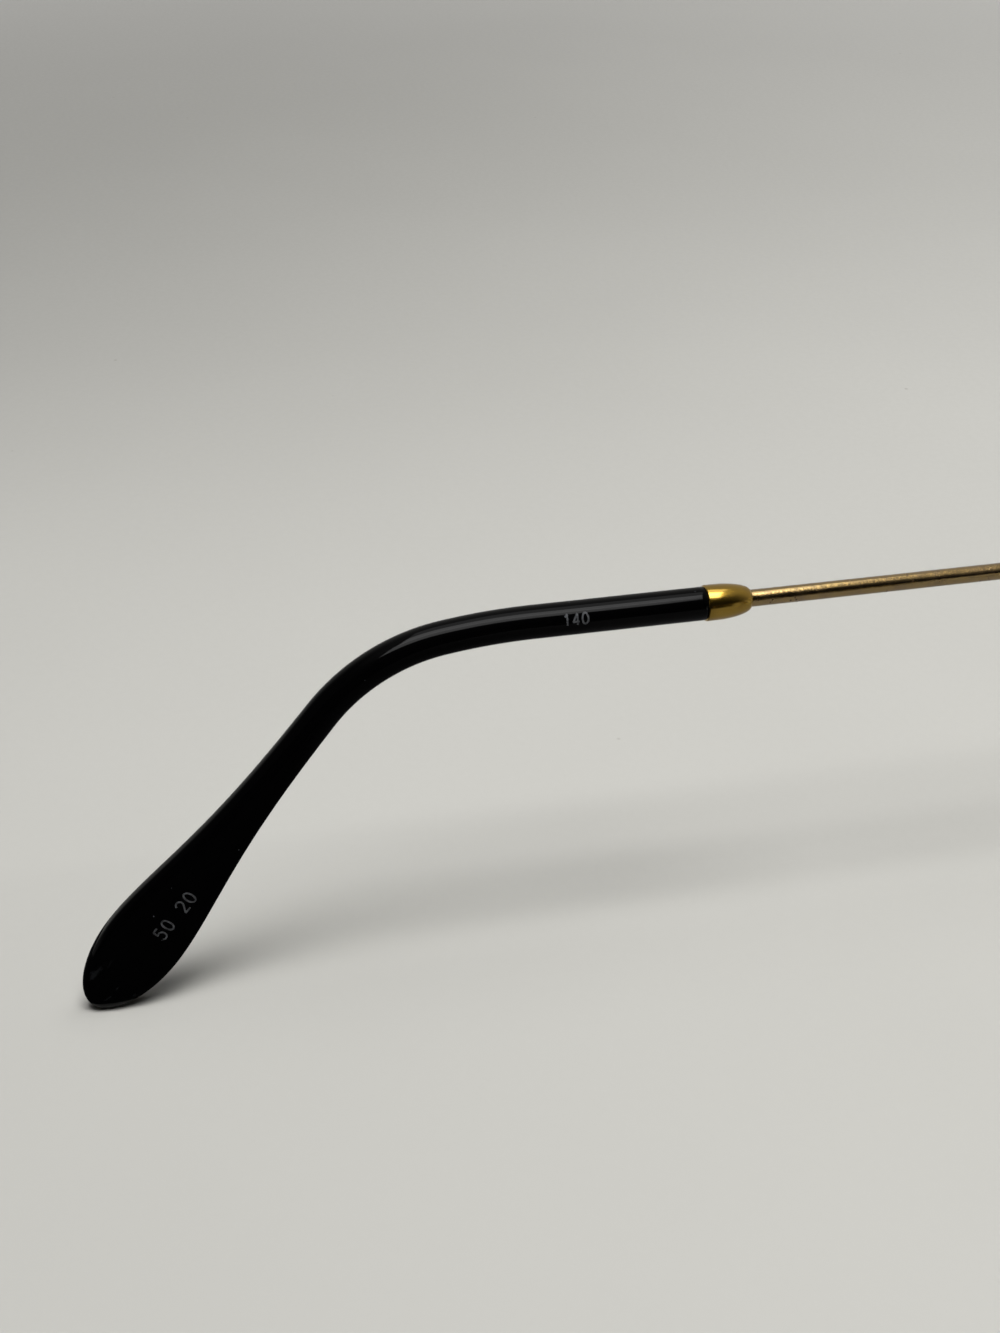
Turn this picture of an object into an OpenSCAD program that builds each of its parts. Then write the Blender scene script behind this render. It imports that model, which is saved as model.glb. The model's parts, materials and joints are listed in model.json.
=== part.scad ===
// Full-rim wire eyeglass frame with folding temples, standing open on a table.
// X runs across the face, with the wearer's left at +X. Y runs from the front to the ears.
// Z is up, and the origin is under the middle of the whole frame.

/* [Lenses] */
// Width of one lens at its widest
lens_w = 50; // [46:0.5:54]
// Height of one lens at its tallest
lens_h = 45; // [40:0.5:47]
// Shortest distance between the two lenses
bridge_gap = 20; // [17:0.5:23]
// Thickness of a lens
lens_t = 1.8; // [1.4:0.1:2.4]
// Radius of the sphere that lenses and rims follow
lens_curve_r = 130; // [110:5:180]
// Squareness of the upper half of the lens outline, where 2 is an ellipse
upper_square = 2.7; // [2.3:0.05:3]
// Squareness of the lower half of the lens outline
lower_square = 2.3; // [2.1:0.05:2.6]
// Sideways lean of the outline away from the nose, per unit of height
outline_lean = 0.07; // [0.02:0.01:0.12]
// Depth of the bevel round the lens edge
bevel_depth = 0.45; // [0.35:0.05:0.55]

/* [Rims] */
// Metal outside the lens edge, measured across the wire
rim_out = 1.1; // [0.9:0.05:1.5]
// Thickness of the rim wire from front to back
rim_d = 1.5; // [1.3:0.1:2]
// Play between a lens and the groove that holds it
lens_play = 0.05; // [0.03:0.01:0.1]
// Width of the slit where a rim opens to take its lens
rim_slit = 0.4; // [0.3:0.05:0.6]
// Joint of solder between a rim and what it carries
solder = 0.05; // [0.03:0.01:0.1]

/* [Bridge] */
// Radius of the bridge wire
bridge_r = 0.95; // [0.8:0.05:1.2]
// Rise of the bridge between the rims
bridge_rise = 3.2; // [2.4:0.1:4.5]
// Height of the bridge ends above the lens centres
bridge_h = 8.4; // [6:0.2:10]

/* [Closing blocks] */
// Width of a closing block
block_w = 2.6; // [2.4:0.1:3]
// Depth of a closing block
block_d = 2.6; // [2.4:0.1:3]
// Height of each half of a closing block
block_h = 2.2; // [1.8:0.1:2.6]
// Radius of the closing screw
rim_screw_r = 0.6; // [0.5:0.05:0.7]
// Radius of the closing screw's head
rim_screw_head_r = 1; // [0.9:0.05:1.15]

/* [Endpieces and hinges] */
// Height of the endpiece bar
endpiece_h = 3.2; // [2.8:0.1:3.6]
// Thickness of the endpiece bar
endpiece_t = 1.6; // [1.5:0.05:1.8]
// Radius of the endpiece corner, to the middle of the bar
endpiece_bend_r = 1.8; // [1.6:0.05:2]
// Distance of a temple outside the widest point of its lens
temple_out = 6; // [5:0.25:9]
// Distance of the hinge pins behind the middle of the lenses
hinge_back = 9; // [8.5:0.25:11]
// Distance from the hinge pin out to the middle of the temple
hinge_inset = 1.1; // [1:0.05:1.25]
// Radius of the hinge barrels
barrel_r = 1.3; // [1.2:0.05:1.4]
// Height of the temple's single barrel
mid_barrel_h = 1.2; // [1:0.1:1.4]
// Height of each of the two front barrels
side_barrel_h = 1.25; // [1:0.05:1.5]
// Radius of the hinge screw
hinge_screw_r = 0.7; // [0.6:0.05:0.75]
// Radius of the hinge screw's head
hinge_screw_head_r = 1.05; // [0.95:0.05:1.2]
// Tilt of the front, top forwards
front_tilt = 6; // [4:0.5:7]
// Running play in the hinge, between barrels and round them
hinge_play = 0.06; // [0.04:0.01:0.1]

/* [Temples] */
// Length of a temple from hinge pin to tip end, along the wire
temple_len = 140; // [135:1:145]
// Radius of the temple wire
rod_r = 0.8; // [0.7:0.05:0.95]
// Radius of the socket that holds the wire at the hinge
socket_r = 1.25; // [1.15:0.05:1.4]
// Length of that socket
socket_len = 5; // [4:0.5:7]
// Length of the gold ferrule
ferrule_len = 4.3; // [3.5:0.1:5]
// Radius of the ferrule where it meets the tip
ferrule_r = 1.72; // [1.65:0.01:1.9]
// Radius of the ferrule where the wire enters
ferrule_nose_r = 0.93; // [0.93:0.01:1.1]

/* [Temple tips] */
// Length of a tip along its middle line
tip_len = 71.9; // [68:0.1:75]
// Radius of the round part of a tip
tip_r = 1.52; // [1.45:0.01:1.6]
// Straight length of a tip before it bends
tip_straight = 15.9; // [13.5:0.1:18]
// Radius of the first, gentle part of the bend
easy_bend_r = 61; // [52:1:70]
// Angle turned in the gentle part
easy_bend = 7.9; // [6:0.1:10]
// Radius of the main bend behind the ear
ear_bend_r = 18.2; // [16:0.1:21]
// Angle turned in the main bend
ear_bend = 41; // [37:0.5:44]
// Inward lean of the tip below its bend
tip_lean = 8; // [5:0.5:10]
// Half width of the paddle at its widest
paddle_r = 3.77; // [3.4:0.01:4.2]
// Half thickness of the paddle
paddle_t = 1.3; // [1.15:0.05:1.45]
// Distance from the tip's mouth to where it starts to widen
widen_from = 28; // [25:0.5:31]
// Lateness of the widening, where 1 widens evenly
widen_late = 2.3; // [2:0.1:2.6]
// Length of the rounded end of the paddle
paddle_end = 7.8; // [6.5:0.1:9]
// Radius of the core wire inside a tip
core_r = 0.65; // [0.55:0.05:0.7]
// Length of the core wire inside a tip
core_len = 61; // [52:1:63]
// Play round the core wire
core_play = 0.04; // [0.02:0.01:0.06]

/* [Nose pads] */
// Length of a nose pad
pad_len = 13; // [11:0.5:15]
// Width of a nose pad
pad_w = 7; // [6:0.25:8]
// Thickness of a nose pad at its middle
pad_t = 2.4; // [2.2:0.1:2.8]
// Distance of a pad's screw from the middle of the face
pad_x = 10.6; // [10:0.2:12]
// Distance of a pad's screw behind the middle of the lenses
pad_back = 8.2; // [7.5:0.2:9]
// Distance of a pad's screw below the lens centres
pad_drop = 9; // [8.5:0.25:11]
// Lean of the pads, tops together
pad_lean = 20; // [15:1:25]
// Splay of the pads, rear edges apart
pad_splay = 28; // [22:1:34]
// Radius of the wire that carries a pad
arm_r = 0.5; // [0.45:0.05:0.6]
// Radius of the pad screw
pad_screw_r = 0.42; // [0.35:0.01:0.45]
// Radius of the pad screw's head
pad_screw_head_r = 0.75; // [0.65:0.05:0.85]

/* [Hidden] */
$fn = 48;
LEFT = 1;
RIGHT = -1;

// Steps of the curved surfaces
rim_steps = 88;
lens_rings = [0.3, 0.62, 0.88];
tip_sides = 16;
tip_step = 1.75;
end_steps = 8;
bore_sides = 10;
core_sides = 8;
arm_steps = 14;
arm_sides = 8;
pad_steps = 20;
pad_layers = 5;

// Lens outline, seen from the front with its centre at the origin and the nose at -X
lens_x = (bridge_gap + lens_w) / 2;
temple_x = lens_x + lens_w / 2 + temple_out;
function squareness(a) = sin(a) > 0 ? upper_square : lower_square;
function edge_r(a) =
    let (n = squareness(a))
    pow(pow(abs(cos(a)) / (lens_w / 2), n) + pow(abs(sin(a)) / (lens_h / 2), n), -1 / n);
function edge(a) =
    let (r = edge_r(a))
    [r * cos(a) - outline_lean * r * sin(a), r * sin(a)];
function edge_out(a) =
    let (d = edge(a + 1) - edge(a - 1))
    [d[1], -d[0]] / norm(d);
function angle_up(h, a = 0, tries = 14) =
    tries == 0 ? a : angle_up(h, asin(h / edge_r(a)), tries - 1);
function sag(r) = lens_curve_r - sqrt(lens_curve_r * lens_curve_r - r * r);
function on_curve(p, depth) = [lens_x + p[0], sag(norm(p)) + depth, p[1]];
function off_edge(a, out, depth) =
    let (p = edge(a), q = p + out * edge_out(a))
    [lens_x + q[0], sag(norm(p)) + depth, q[1]];

// Rim wire: a ring of section points at each step round the outline
lip = rim_d * 0.27;
rim_corner = rim_d * 0.24;
rim_section = [
    [-bevel_depth, -rim_d / 2], [-bevel_depth, -lip], [lens_play, 0],
    [-bevel_depth, lip], [-bevel_depth, rim_d / 2], [rim_out - rim_corner, rim_d / 2],
    [rim_out, rim_d / 2 - rim_corner], [rim_out, rim_corner - rim_d / 2],
    [rim_out - rim_corner, -rim_d / 2]
];

// The bend of a tip, in the plane of the bend: distance back and distance down
easy_len = easy_bend_r * easy_bend * PI / 180;
ear_len = ear_bend_r * ear_bend * PI / 180;
easy_end = tip_straight + easy_len;
ear_end = easy_end + ear_len;
full_bend = easy_bend + ear_bend;
easy_stop = [tip_straight + easy_bend_r * sin(easy_bend), easy_bend_r * (1 - cos(easy_bend))];
ear_stop = easy_stop + ear_bend_r * [
    sin(full_bend) - sin(easy_bend), cos(easy_bend) - cos(full_bend)
];
function turn_at(s) =
    s < tip_straight ? 0 :
    s < easy_end ? (s - tip_straight) / easy_bend_r * 180 / PI :
    s < ear_end ? easy_bend + (s - easy_end) / ear_bend_r * 180 / PI : full_bend;
function middle_at(s) =
    let (t = turn_at(s))
    s < tip_straight ? [s, 0] :
    s < easy_end ? [tip_straight + easy_bend_r * sin(t), easy_bend_r * (1 - cos(t))] :
    s < ear_end ? easy_stop + ear_bend_r * [sin(t) - sin(easy_bend), cos(easy_bend) - cos(t)] :
    ear_stop + (s - ear_end) * [cos(full_bend), sin(full_bend)];

// Half width and half thickness of a tip along its length
paddle_from = tip_len - paddle_end;
function smooth(u) = u <= 0 ? 0 : u >= 1 ? 1 : u * u * (3 - 2 * u);
function widened(s) = min(1, max(0, s - widen_from) / (paddle_from - widen_from));
function end_share(s, n) =
    s <= paddle_from ? 1 :
    pow(max(0, 1 - pow((s - paddle_from) / paddle_end, n)), 1 / n);
function half_width(s) =
    (tip_r + (paddle_r - tip_r) * smooth(pow(widened(s), widen_late))) * end_share(s, 2);
function half_thickness(s) =
    (tip_r + (paddle_t - tip_r) * smooth(widened(s))) * end_share(s, 3);
function tip_point(s, a, half_w, half_t) =
    let (m = middle_at(s), t = turn_at(s), w = half_w * cos(a))
    [half_t * sin(a), m[0] - w * sin(t), -m[1] - w * cos(t)];
tip_stations = concat(
    [for (s = [0 : tip_step : paddle_from - tip_step / 2]) s],
    [for (i = [0 : end_steps - 1]) paddle_from + paddle_end * sin(90 * i / end_steps)]
);
bore_len = core_len + 0.5;
bore_r = (core_r + core_play) / cos(180 / bore_sides);
bore_stations = concat([for (s = [0 : tip_step : bore_len - tip_step / 2]) s], [bore_len]);
core_stations = concat(
    [-rod_r],
    [for (s = [tip_step : tip_step : core_len - tip_step / 2]) s],
    [core_len]
);
function core_ring(s) = [
    for (k = [0 : core_sides - 1]) tip_point(s, 360 * k / core_sides, core_r, core_r)
];
tip_rings = [
    for (s = tip_stations) [
        for (k = [0 : tip_sides - 1])
        tip_point(s, 360 * k / tip_sides, half_width(s), half_thickness(s))
    ]
];
tip_last = tip_point(tip_len, 0, 0, 0);
bore_rings = [
    for (s = bore_stations) [
        for (k = [0 : bore_sides - 1]) tip_point(s, 360 * k / bore_sides, bore_r, bore_r)
    ]
];

// Points of the rims and lenses
rim_points = [
    for (i = [0 : rim_steps - 1]) for (q = rim_section)
    off_edge(360 * i / rim_steps, q[0], q[1])
];
lens_front = [
    for (k = concat(lens_rings, [1])) for (i = [0 : rim_steps - 1])
    on_curve(k * edge(360 * i / rim_steps), -lens_t / 2)
];

// Where everything stands: rims and tips rest on z = 0, and the hinge pins follow from that
temple_z = -min([
    for (ring = tip_rings) for (p = ring) p[2] * cos(tip_lean) - p[0] * sin(tip_lean)
]);
front_z = -min([for (p = rim_points) p[1] * sin(front_tilt) + p[2] * cos(front_tilt)]);
hinge_h = (temple_z - front_z - hinge_back * sin(front_tilt)) / cos(front_tilt);
hinge_y = hinge_back * cos(front_tilt) - hinge_h * sin(front_tilt);
mouth_y = hinge_y + temple_len - tip_len;
front_y = min([
    for (p = concat(rim_points, lens_front)) p[1] * cos(front_tilt) - p[2] * sin(front_tilt)
]);
rear_y = mouth_y + max([for (ring = tip_rings) for (p = ring) p[1]]);
middle_y = (front_y + rear_y) / 2;
hinge_x = temple_x - hinge_inset;

// Screws: play round the thread, and size of the heads and their slots
thread_play = 0.01;
head_h = 0.55;
slot_w = 0.28;
slot_d = 0.3;

// Closing blocks under the endpiece, with the slit of the rim between them
block_setback = 0.3;
slit_h = hinge_h - endpiece_h / 2 - solder - block_h - rim_slit / 2;
slit_a = angle_up(slit_h);
slit_half = rim_slit / 2 / edge_r(slit_a) * 180 / PI;
block_edge = off_edge(slit_a, rim_out + solder, 0);
screw_reach = block_h + rim_slit / 2 + head_h;
rim_beside_screw = max([
    for (k = [0 : 0.25 : 1]) off_edge(angle_up(slit_h - k * screw_reach), rim_out, 0)[0]
]);
block_x = max(block_edge[0] + block_w / 2, rim_beside_screw + solder + rim_screw_head_r);
block_y = block_edge[1] + block_setback;
endpiece_y = off_edge(angle_up(hinge_h), rim_out, 0)[1];

// Depth of the cut that fits these pieces to the rim, from front to back
trim_depth = 4 * (sag(lens_w / 2) + block_d);

// Bridge ends and arc
bridge_edge = off_edge(180 - angle_up(bridge_h), rim_out + solder, 0);
bridge_half = bridge_edge[0] + bridge_r;
bridge_arc_r = (bridge_half * bridge_half + bridge_rise * bridge_rise) / (2 * bridge_rise);
bridge_arc = asin(bridge_half / bridge_arc_r);

// Hinge heights, measured along the pin from the middle of the hinge
side_from = mid_barrel_h / 2 + hinge_play;
side_to = side_from + side_barrel_h;
leaf_clear = barrel_r + 0.1;
stop_gap = 0.1;
leaf_len = 4;
rod_from = 3;

// Socket of the temple wire: how its front end grows out of the leaf
flare_len = 1.4;
flare_r = endpiece_t / 2 - 0.05;

// Ferrule: its cylindrical part, the broken edge at the tip's mouth, and its bell curve
ferrule_shoulder = ferrule_len * 0.28;
edge_break = 0.06;
bell_late = 1.9;
bell_full = 1.7;

// Pad box and lug, in the pad's own frame: x away from the nose, y across, z along the pad
lug_r = 0.78;
lug_w = 0.9;
neck_h = lug_r * 1.2;
box_wall = 0.5;
box_in = 0.06;
box_half_h = 0.95;
box_from = -0.7;
box_floor = 0.9;
pad_back_x = -1;
pad_taper = 0.16;
pad_wall = 0.35;
insert_t = 0.5;
insert_l = 5;
insert_w = 2.6;

// Pad arm: where it leaves the rim, and how far it runs straight at either end
arm_above_pad = 3;
arm_from_rim = 3.2;
arm_to_box = 2.4;
arm_mid_angle = 180 + angle_up(pad_drop - arm_above_pad);

// Frames in which the pieces are drawn
module on_side(side) {
    if (side == LEFT) children();
    else mirror([1, 0, 0]) children();
}
module front_frame() {
    translate([0, -middle_y, front_z]) rotate([front_tilt, 0, 0]) children();
}
module hinge_frame() {
    front_frame() translate([hinge_x, hinge_back, hinge_h]) children();
}
module temple_frame() {
    translate([temple_x, hinge_y - middle_y, temple_z]) children();
}
module tip_frame() {
    translate([temple_x, mouth_y - middle_y, temple_z]) rotate([0, tip_lean, 0]) children();
}
module pad_frame() {
    front_frame() translate([pad_x, pad_back, -pad_drop])
        rotate([0, 0, -pad_splay]) rotate([0, -pad_lean, 0]) children();
}

// Triangles of a tube of m rings of n points, whose first point has the number from.
// Seen from the first ring, looking towards the last, each ring runs anticlockwise.
function tube_faces(from, n, m) = concat(
    [for (i = [0 : m - 2]) for (k = [0 : n - 1])
        [from + i * n + k, from + i * n + (k + 1) % n, from + (i + 1) * n + (k + 1) % n]],
    [for (i = [0 : m - 2]) for (k = [0 : n - 1])
        [from + i * n + k, from + (i + 1) * n + (k + 1) % n, from + (i + 1) * n + k]]
);

// A closed tube through rings of points, all with the same count
module skin(rings) {
    n = len(rings[0]);
    m = len(rings);
    polyhedron(
        points = [for (ring = rings) for (p = ring) p],
        faces = concat(
            [[for (k = [n - 1 : -1 : 0]) k]],
            tube_faces(0, n, m),
            [[for (k = [0 : n - 1]) (m - 1) * n + k]]
        )
    );
}

// Everything inside the outer edge of a rim, to trim what is soldered to it
module rim_trim() {
    translate([lens_x, 0, 0]) rotate([90, 0, 0])
        linear_extrude(height = trim_depth, center = true)
            polygon([
                for (i = [0 : rim_steps - 1])
                let (a = 360 * i / rim_steps)
                edge(a) + (rim_out + solder) * edge_out(a)
            ]);
}

// A round bar along +Y
module rod_y(r, length) {
    rotate([-90, 0, 0]) cylinder(r = r, h = length);
}

// The socket of a temple wire, which grows out of the leaf in front of it
module socket() {
    rotate([-90, 0, 0]) rotate_extrude() polygon([
        [0, -flare_len], [flare_r, -flare_len], [socket_r, 0], [socket_r, socket_len], [0, socket_len]
    ]);
}

// A slotted head on top of a screw that stands along Z
module slotted_head(r, h) {
    difference() {
        cylinder(r = r, h = h);
        translate([-r - 1, -slot_w / 2, h - slot_d]) cube([2 * r + 2, slot_w, slot_d + 1]);
    }
}

module rim(side) {
    step = 360 / rim_steps;
    first = slit_a + slit_half;
    last = slit_a - slit_half + 360;
    between = [for (i = [ceil(first / step + 0.1) : floor(last / step - 0.1)]) i * step];
    color("goldenrod") on_side(side) front_frame() skin([
        for (a = concat([first], between, [last]))
        [for (q = rim_section) off_edge(a, q[0], q[1])]
    ]);
}

module lens(side) {
    n = rim_steps;
    groove = bevel_depth + lens_play;
    shoulder = lip * 0.8;
    edge_bands = [
        [-groove, -lens_t / 2], [-bevel_depth, -shoulder], [0, 0],
        [-bevel_depth, shoulder], [-groove, lens_t / 2]
    ];
    front_rings = [for (k = lens_rings) [for (i = [0 : n - 1])
        on_curve(k * edge(360 * i / n), -lens_t / 2)]];
    edge_rings = [for (b = edge_bands) [for (i = [0 : n - 1]) off_edge(360 * i / n, b[0], b[1])]];
    back_rings = [for (j = [len(lens_rings) - 1 : -1 : 0]) [for (i = [0 : n - 1])
        on_curve(lens_rings[j] * edge(360 * i / n), lens_t / 2)]];
    rings = concat(front_rings, edge_rings, back_rings);
    m = len(rings);
    color("lightcyan", 0.4) on_side(side) front_frame() polyhedron(
        points = concat(
            [for (ring = rings) for (p = ring) p],
            [[lens_x, -lens_t / 2, 0], [lens_x, lens_t / 2, 0]]
        ),
        faces = concat(
            [for (k = [0 : n - 1]) [n * m, (k + 1) % n, k]],
            tube_faces(0, n, m),
            [for (k = [0 : n - 1]) [n * m + 1, (m - 1) * n + k, (m - 1) * n + (k + 1) % n]]
        )
    );
}

module bridge() {
    color("goldenrod") front_frame() difference() {
        translate([0, bridge_edge[1], bridge_edge[2] + bridge_rise - bridge_arc_r])
            rotate([90, 0, 0]) rotate([0, 0, 90 - bridge_arc])
                rotate_extrude(angle = 2 * bridge_arc) translate([bridge_arc_r, 0]) circle(r = bridge_r);
        rim_trim();
        mirror([1, 0, 0]) rim_trim();
    }
}

module closing_block(side, upper) {
    bottom = upper ? slit_h + rim_slit / 2 : slit_h - rim_slit / 2 - block_h;
    screw_hole_r = rim_screw_r + (upper ? thread_play : hinge_play);
    root = block_w / 2;
    color("goldenrod") on_side(side) front_frame() difference() {
        translate([block_x - block_w / 2 - root, block_y - block_d / 2, bottom])
            cube([block_w + root, block_d, block_h]);
        rim_trim();
        translate([block_x, block_y, bottom - 1]) cylinder(r = screw_hole_r, h = block_h + 2);
    }
}

module rim_screw(side) {
    length = 2 * block_h + rim_slit;
    color("gold") on_side(side) front_frame()
        translate([block_x, block_y, slit_h - length / 2]) {
            cylinder(r = rim_screw_r, h = length);
            mirror([0, 0, 1]) slotted_head(rim_screw_head_r, head_h);
        }
}

module endpiece(side) {
    corner = [temple_x - endpiece_bend_r, endpiece_y + endpiece_bend_r];
    bar_from = off_edge(angle_up(hinge_h), 0, 0)[0];
    bar_end = hinge_back - stop_gap / 2;
    half_h = endpiece_h / 2;
    half_t = endpiece_t / 2;
    color("goldenrod") on_side(side) front_frame() difference() {
        union() {
            translate([0, 0, hinge_h - half_h]) linear_extrude(height = endpiece_h) polygon(concat(
                [[bar_from, endpiece_y - half_t]],
                [for (a = [-90 : 9 : 0]) corner + (endpiece_bend_r + half_t) * [cos(a), sin(a)]],
                [[temple_x + half_t, bar_end], [temple_x - half_t, bar_end]],
                [for (a = [0 : -9 : -90]) corner + (endpiece_bend_r - half_t) * [cos(a), sin(a)]],
                [[bar_from, endpiece_y + half_t]]
            ));
            translate([hinge_x, hinge_back, hinge_h - side_to]) cylinder(r = barrel_r, h = 2 * side_to);
        }
        rim_trim();
        translate([hinge_x, hinge_back, hinge_h]) {
            translate([0, 0, -side_from]) cylinder(r = leaf_clear, h = 2 * side_from);
            translate([0, 0, -side_to - 1])
                cylinder(r = hinge_screw_r + thread_play, h = 2 * side_to + 2);
        }
    }
}

module hinge_screw(side) {
    color("gold") on_side(side) hinge_frame() {
        translate([0, 0, -side_to]) cylinder(r = hinge_screw_r, h = 2 * side_to);
        translate([0, 0, side_to]) slotted_head(hinge_screw_head_r, head_h);
    }
}

module temple_hinge(side) {
    half_h = endpiece_h / 2;
    color("goldenrod") on_side(side) difference() {
        union() {
            hinge_frame() difference() {
                union() {
                    translate([hinge_inset - endpiece_t / 2, stop_gap / 2, -half_h])
                        cube([endpiece_t, leaf_len, endpiece_h]);
                    translate([0, 0, -mid_barrel_h / 2]) cylinder(r = barrel_r, h = mid_barrel_h);
                }
                for (up = [0, 1]) mirror([0, 0, up])
                    translate([0, 0, mid_barrel_h / 2]) cylinder(r = leaf_clear, h = half_h + side_to);
                translate([0, 0, -side_to]) cylinder(r = hinge_screw_r + hinge_play, h = 2 * side_to);
            }
            temple_frame() translate([0, rod_from, 0]) socket();
        }
        temple_frame() translate([0, rod_from, 0]) rod_y(rod_r + thread_play, socket_len + 1);
    }
}

module temple_rod(side) {
    color("darkgoldenrod") on_side(side) {
        temple_frame() translate([0, rod_from, 0]) rod_y(rod_r, temple_len - tip_len - rod_from);
        tip_frame() skin([for (s = core_stations) core_ring(s)]);
    }
}

module ferrule(side) {
    hole_r = rod_r + thread_play;
    narrowing = ferrule_r - ferrule_nose_r;
    nose = ferrule_len - ferrule_shoulder;
    color("gold") on_side(side) temple_frame()
        translate([0, temple_len - tip_len, 0]) rotate([90, 0, 0]) rotate_extrude()
            polygon(concat(
                [[hole_r, 0], [ferrule_r - edge_break, 0], [ferrule_r, 2 * edge_break]],
                [
                    for (a = [0 : 7.5 : 90])
                    let (u = sin(a), share = pow(1 - pow(u, bell_late), 1 / bell_full))
                    [ferrule_nose_r + narrowing * share, ferrule_shoulder + nose * u]
                ],
                [[hole_r, ferrule_len]]
            ));
}

module temple_tip(side) {
    n = tip_sides;
    b = bore_sides;
    m = len(tip_rings);
    deep = len(bore_rings);
    last = n * m;
    bore = last + 1;
    color([0.03, 0.03, 0.035]) on_side(side) tip_frame() polyhedron(
        points = concat(
            [for (ring = tip_rings) for (p = ring) p],
            [tip_last],
            [for (ring = bore_rings) for (p = ring) p]
        ),
        faces = concat(
            tube_faces(0, n, m),
            [for (k = [0 : n - 1]) [(m - 1) * n + k, (m - 1) * n + (k + 1) % n, last]],
            [for (f = tube_faces(bore, b, deep)) [f[2], f[1], f[0]]],
            [[for (k = [b - 1 : -1 : 0]) bore + (deep - 1) * b + k]],
            mouth_faces(n, b, bore)
        )
    );
}

// Triangles between the outer edge of the mouth, of n points, and the bore, of b points
function mouth_faces(n, b, bore) = concat(
    [for (k = [0 : n - 1]) [k, bore + round(k * b / n) % b, (k + 1) % n]],
    [for (k = [0 : n - 1]) if (round(k * b / n) != round((k + 1) * b / n))
        [bore + round(k * b / n) % b, bore + round((k + 1) * b / n) % b, (k + 1) % n]]
);

// The pad arm leaves the back of the rim and curls to the pad box
function bezier(p, t) =
    pow(1 - t, 3) * p[0] + 3 * t * pow(1 - t, 2) * p[1] + 3 * t * t * (1 - t) * p[2] + pow(t, 3) * p[3];
function bezier_way(p, t) =
    let (
        d = pow(1 - t, 2) * (p[1] - p[0])
            + 2 * t * (1 - t) * (p[2] - p[1])
            + t * t * (p[3] - p[2])
    )
    d / norm(d);
function about_z(a, v) = [v[0] * cos(a) - v[1] * sin(a), v[0] * sin(a) + v[1] * cos(a), v[2]];
function about_y(a, v) = [v[0] * cos(a) + v[2] * sin(a), v[1], v[2] * cos(a) - v[0] * sin(a)];
function from_pad(v) = [pad_x, pad_back, -pad_drop] + about_z(-pad_splay, about_y(-pad_lean, v));
arm_root = off_edge(arm_mid_angle, (rim_out - bevel_depth) / 2, rim_d / 2 + solder);
arm_foot = from_pad([box_floor + box_wall + solder, 0, 0]);
arm_path = [
    arm_root,
    arm_root + [0, arm_from_rim, 0],
    from_pad([box_floor + box_wall + solder + arm_to_box, 0, 0]),
    arm_foot
];
function arm_ring(t) =
    let (
        middle = bezier(arm_path, t),
        way = bezier_way(arm_path, t),
        level = cross(way, [0, 0, 1]) / norm(cross(way, [0, 0, 1])),
        steep = cross(way, level)
    )
    [
        for (k = [0 : arm_sides - 1])
        let (a = 360 * k / arm_sides)
        middle + arm_r * (level * cos(a) - steep * sin(a))
    ];

module pad_arm(side) {
    color("goldenrod") on_side(side) front_frame()
        skin([for (i = [0 : arm_steps]) arm_ring(i / arm_steps)]);
}

module pad_box(side) {
    wall_y = lug_w / 2 + box_in;
    depth = box_floor + box_wall - box_from;
    color("goldenrod") on_side(side) pad_frame() difference() {
        translate([box_from, -wall_y - box_wall, -box_half_h])
            cube([depth, 2 * (wall_y + box_wall), 2 * box_half_h]);
        translate([box_from - 1, -wall_y, -box_half_h - 1])
            cube([box_floor - box_from + 1, 2 * wall_y, 2 * box_half_h + 2]);
        translate([0, -wall_y - box_wall - 1, 0])
            rod_y(pad_screw_r + thread_play, 2 * (wall_y + box_wall + 1));
    }
}

module pad_screw(side) {
    reach = lug_w / 2 + box_in + box_wall;
    color("gold") on_side(side) pad_frame() translate([0, reach, 0]) rotate([90, 0, 0]) {
        cylinder(r = pad_screw_r, h = 2 * reach);
        mirror([0, 0, 1]) slotted_head(pad_screw_head_r, head_h);
    }
}

module pad_insert(side) {
    color("silver") on_side(side) pad_frame() difference() {
        union() {
            translate([0, -lug_w / 2, 0]) rod_y(lug_r, lug_w);
            translate([pad_back_x - insert_t, -lug_w / 2, -neck_h / 2])
                cube([-pad_back_x + insert_t, lug_w, neck_h]);
            translate([pad_back_x - insert_t * 2, -insert_w / 2, -insert_l / 2])
                cube([insert_t, insert_w, insert_l]);
        }
        translate([0, -lug_w, 0]) rod_y(pad_screw_r + hinge_play / 2, 2 * lug_w);
    }
}

// Outline of a nose pad: a rounded drop, narrower at its top
function pad_edge(a) = [
    -pad_w / 2 * sin(a) * (1 - pad_taper * cos(a)),
    pad_len / 2 * cos(a)
];

// Size and place of the layers of a nose pad: a wall round the edge, then a rounded crown
pad_crown = [
    for (j = [0 : pad_layers - 1])
    let (a = 90 * j / pad_layers)
    [cos(a), pad_back_x - pad_t * (pad_wall + (1 - pad_wall) * sin(a))]
];
pad_layout = concat([[0.9, pad_back_x], [1, pad_back_x - pad_t * pad_wall / 2]], pad_crown);

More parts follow.
